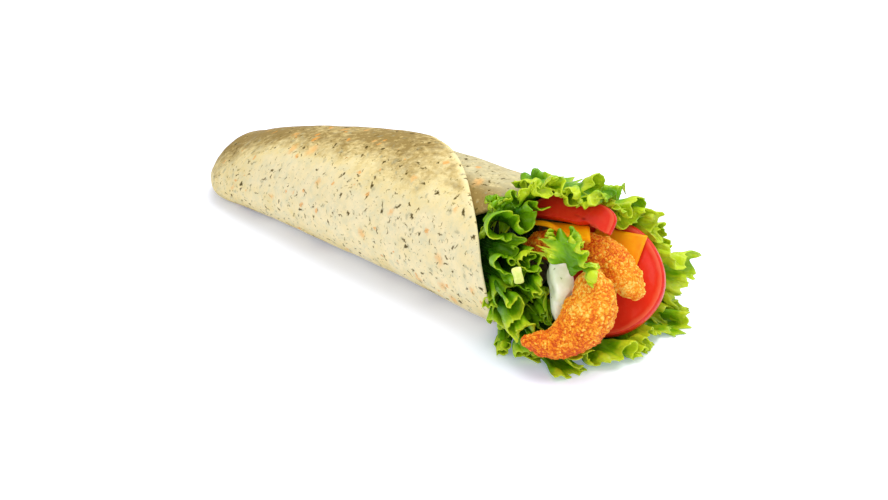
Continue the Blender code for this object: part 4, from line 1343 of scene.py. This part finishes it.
class WrapSettings(bpy.types.PropertyGroup):
    """Colours of the wrap."""

    dough: colour_property("Dough", "Untoasted tortilla", "#F0E0B2")
    baked: colour_property("Baked dough", "Lightly baked tortilla", "#E8D497")
    grey_dough: colour_property("Grey dough", "Flour and herb juice in the skin", "#D2CEAA")
    toasted: colour_property("Toasted dough", "Toasted band of the tortilla", "#BDA568")
    browned: colour_property("Browned dough", "Darkest toasting", "#947C44")
    # painted shade: the darkest green, for lettuce deep in the bunch
    leaf_painted_shade: colour_property("Leaf base", "Lettuce deep in the bunch", "#123A04")
    leaf_middle: colour_property("Leaf blade", "Middle of a lettuce leaf", "#3E8209")
    leaf_light: colour_property("Leaf outer blade", "Lettuce near its margin", "#8AC40A")
    leaf_margin: colour_property("Leaf margin", "Frilly margin", "#D4E82A")
    leaf_vein: colour_property("Leaf vein", "Veins", "#9CC24A")
    rib: colour_property("Leaf rib", "Pale cut rib", "#F2F0A0")
    rib_green: colour_property("Green of the rib", "Greener parts of the rib", "#D2E070")
    # the dark crust is partly the crust's own deep orange and partly painted shade between the
    # crumbs and on the underside; the golden and light crust are partly painted light on raised
    # crumbs
    crust_dark: colour_property("Dark crust", "Deep between the crumbs", "#D24A00")
    crust: colour_property("Crust", "Most of the crumb crust", "#F5820A")
    crust_golden: colour_property("Golden crust", "Raised crumbs", "#FFB024")
    crust_light: colour_property("Light crust", "Palest crumbs", "#FFDA68")
    tomato: colour_property("Tomato flesh", "Cut face", "#E2301A")
    tomato_wet: colour_property("Wet flesh", "Juicy spots of the cut face", "#E5442A")
    tomato_pale: colour_property("Flesh at the skin", "Outer ring of the cut face", "#E65C3A")
    tomato_skin: colour_property("Tomato skin", "Skin", "#D2240C")
    cheese: colour_property("Cheese", "Sliced cheese", "#FA9000")
    cheese_light: colour_property("Light cheese", "Paler patches of the cheese", "#FFB200")
    sauce: colour_property("Sauce", "White sauce", "#FAFFE6")
    sauce_shade: colour_property("Sauce in shade", "Greener parts of the sauce", "#EAF2CE")
    sauce_herb: colour_property("Sauce herbs", "Chopped herbs", "#7FA043")
    floor: colour_property("Floor", "Studio floor", "#F2F4FA")
    glow: colour_property("Floor glow", "Light of the lit studio floor", "#D0DCFF")


class StageSettings(bpy.types.PropertyGroup):
    """Strength of the studio's lights."""

    room: FloatProperty(name="Room light", description="Even light from all round", default=0.54)
    key: FloatProperty(name="Key light", description="Large light from above", unit="POWER",
                       default=10.5)
    glow: FloatProperty(name="Floor glow", description="Strength of the lit floor", default=0.25)
    fill: FloatProperty(name="Fill light", description="Soft light from the front",
                        unit="POWER", default=3.0)


# Operators


def replace(item, slot, *nodes):
    """A finished piece stands for the named solids, which are hidden. The slot is not used."""
    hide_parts(*nodes)


class WRAP_OT_tortilla(bpy.types.Operator):
    """Makes the rolled tortilla: its inner layer and its flap"""

    bl_idname = "wrap.tortilla"
    bl_label = "Tortilla"

    def execute(self, context):
        material = dough_material(context.scene.wrap_settings)
        for item in (make_cup(material), make_flap(material)):
            replace(item, "tortilla", "tortilla")
        return {"FINISHED"}


class WRAP_OT_lettuce(bpy.types.Operator):
    """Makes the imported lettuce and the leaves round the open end"""

    bl_idname = "wrap.lettuce"
    bl_label = "Lettuce"

    def execute(self, context):
        material = leaf_material(context.scene.wrap_settings)
        replace(make_core(material), "lettuce", "lettuce")
        replace(make_stem(rib_material(context.scene.wrap_settings)), "lettuce", "lettuce")
        for name, node, (columns, rows), leaf in LEAVES:
            replace(make_leaf(name, leaf, columns, rows, material), "lettuce", node)
        return {"FINISHED"}


class WRAP_OT_shrimps(bpy.types.Operator):
    """Makes the three breaded shrimps"""

    bl_idname = "wrap.shrimps"
    bl_label = "Breaded shrimps"

    def execute(self, context):
        material = crust_material(context.scene.wrap_settings)
        for name, (rows, columns) in SHRIMP_GRIDS.items():
            replace(make_shrimp(name, rows, columns, material), "breaded_shrimp", name)
        return {"FINISHED"}


class WRAP_OT_slices(bpy.types.Operator):
    """Makes the tomato and cheese slices"""

    bl_idname = "wrap.slices"
    bl_label = "Tomato and cheese"

    def execute(self, context):
        settings = context.scene.wrap_settings
        tomato = tomato_materials(settings)
        replace(make_tomato_right(tomato), "tomato", "tomato_right")
        replace(make_tomato_top(tomato), "tomato", "tomato_top")
        cheese = cheese_material(settings)
        for name in CHEESE:
            replace(make_cheese(name, cheese), "cheese", name)
        return {"FINISHED"}


class WRAP_OT_sauce(bpy.types.Operator):
    """Makes the spoonful of white herb sauce"""

    bl_idname = "wrap.sauce"
    bl_label = "Sauce"

    def execute(self, context):
        replace(make_sauce(sauce_material(context.scene.wrap_settings)), "sauce", "sauce")
        return {"FINISHED"}


# Where the camera stands, in mm in the roll's frame, and its axes
CAMERA_PLACE = (763.386, -629.452, 436.279)
CAMERA_RIGHT = (0.7193398, 0.69465837, 0)
CAMERA_UP = (-0.30179103, 0.31251376, 0.90069824)
CAMERA_BACK = (0.62567757, -0.64790809, 0.43444526)
CAMERA_LENS = 85
SENSOR = 36
FLOOR_REACH = 4  # metres

# name, place in metres, width and height in metres, and the setting that holds its power
LIGHTS = (
    ("key_light", (0.1, 0.25, 0.95), (1.0, 1.0), "key"),
    ("fill_light", (0.55, -0.75, 0.6), (0.8, 0.8), "fill"),
)


def aim(place, target=(0.0, 0.0, 0.03)):
    """A matrix at a place that looks at the target, level from side to side."""
    back = unit(np.array(place) - target)
    right = unit(np.cross([0, 0, 1.0], back))
    turn = np.column_stack([right, np.cross(back, right), back, place])
    return Matrix([*turn.tolist(), [0, 0, 0, 1]])


def make_floor(wrap, stage):
    """A flat square floor, matt and faintly lit."""
    mesh = bpy.data.meshes.new("floor")
    square = [(-1, -1), (1, -1), (1, 1), (-1, 1)]
    mesh.from_pydata([(x * FLOOR_REACH, y * FLOOR_REACH, 0) for x, y in square], [],
                     [(0, 1, 2, 3)])
    paint, _, shader = new_material("Matt white studio floor", Roughness=0.9,
                                    Specular_IOR_Level=0.0, Emission_Strength=stage.glow)
    shader.inputs["Base Color"].default_value = wrap.floor
    shader.inputs["Emission Color"].default_value = wrap.glow
    mesh.materials.append(paint)
    return bpy.data.objects.new("floor", mesh)


def make_room(stage):
    """Even white light from all round."""
    room = bpy.data.worlds.new("studio")
    room.use_nodes = True
    light = room.node_tree.nodes["Background"].inputs
    light["Color"].default_value = (1, 1, 1, 1)
    light["Strength"].default_value = stage.room
    return room


def make_light(name, place, size, power):
    """A large rectangular lamp that faces the wrap."""
    lamp = bpy.data.lights.new(name, "AREA")
    lamp.shape = "RECTANGLE"
    lamp.size, lamp.size_y = size
    lamp.energy = power
    light = bpy.data.objects.new(name, lamp)
    light.matrix_world = aim(place)
    return light


def make_camera():
    """The camera at its place, turned by its three axes."""
    lens = bpy.data.cameras.new("camera")
    lens.lens = CAMERA_LENS
    lens.sensor_width = SENSOR
    camera = bpy.data.objects.new("camera", lens)
    place = (np.array(CAMERA_PLACE) - FOOTPRINT_MIDDLE) * MM
    turn = np.column_stack([CAMERA_RIGHT, CAMERA_UP, CAMERA_BACK, place])
    camera.matrix_world = Matrix([*turn.tolist(), [0, 0, 0, 1]])
    return camera


class WRAP_OT_stage(bpy.types.Operator):
    """Makes the floor, the lights and the camera"""

    bl_idname = "wrap.stage"
    bl_label = "Stage"

    def execute(self, context):
        scene = context.scene
        stage = scene.stage_settings
        floor = make_floor(scene.wrap_settings, stage)
        scene.collection.objects.link(floor)
        scene.world = make_room(stage)
        for name, place, size, power in LIGHTS:
            light = make_light(name, place, size, getattr(stage, power))
            scene.collection.objects.link(light)
        scene.camera = make_camera()
        scene.collection.objects.link(scene.camera)
        scene.view_settings.view_transform = "Standard"
        return {"FINISHED"}


OPERATORS = (WRAP_OT_tortilla, WRAP_OT_lettuce, WRAP_OT_shrimps, WRAP_OT_slices, WRAP_OT_sauce,
             WRAP_OT_stage)


class VIEW3D_PT_wrap(bpy.types.Panel):
    """Lists the pieces of the wrap and their colours"""

    bl_label = "Shrimp wrap"
    bl_idname = "VIEW3D_PT_wrap"
    bl_space_type = "VIEW_3D"
    bl_region_type = "UI"
    bl_category = "Shrimp wrap"

    def draw(self, context):
        for operator in OPERATORS:
            self.layout.operator(operator.bl_idname)
        for settings in (context.scene.wrap_settings, context.scene.stage_settings):
            for name in settings.__annotations__:
                self.layout.prop(settings, name)


CLASSES = (WrapSettings, StageSettings, *OPERATORS, VIEW3D_PT_wrap)


def register():
    """Registers the classes and puts the settings on the scene."""
    for item in CLASSES:
        bpy.utils.register_class(item)
    bpy.types.Scene.wrap_settings = PointerProperty(type=WrapSettings)
    bpy.types.Scene.stage_settings = PointerProperty(type=StageSettings)


def unregister():
    """Takes the settings and the classes away again."""
    del bpy.types.Scene.stage_settings
    del bpy.types.Scene.wrap_settings
    for item in reversed(CLASSES):
        bpy.utils.unregister_class(item)


def main():
    """Makes every piece in order."""
    register()
    for operator in OPERATORS:
        group, name = operator.bl_idname.split(".")
        getattr(getattr(bpy.ops, group), name)()


if __name__ == "__main__":
    main()
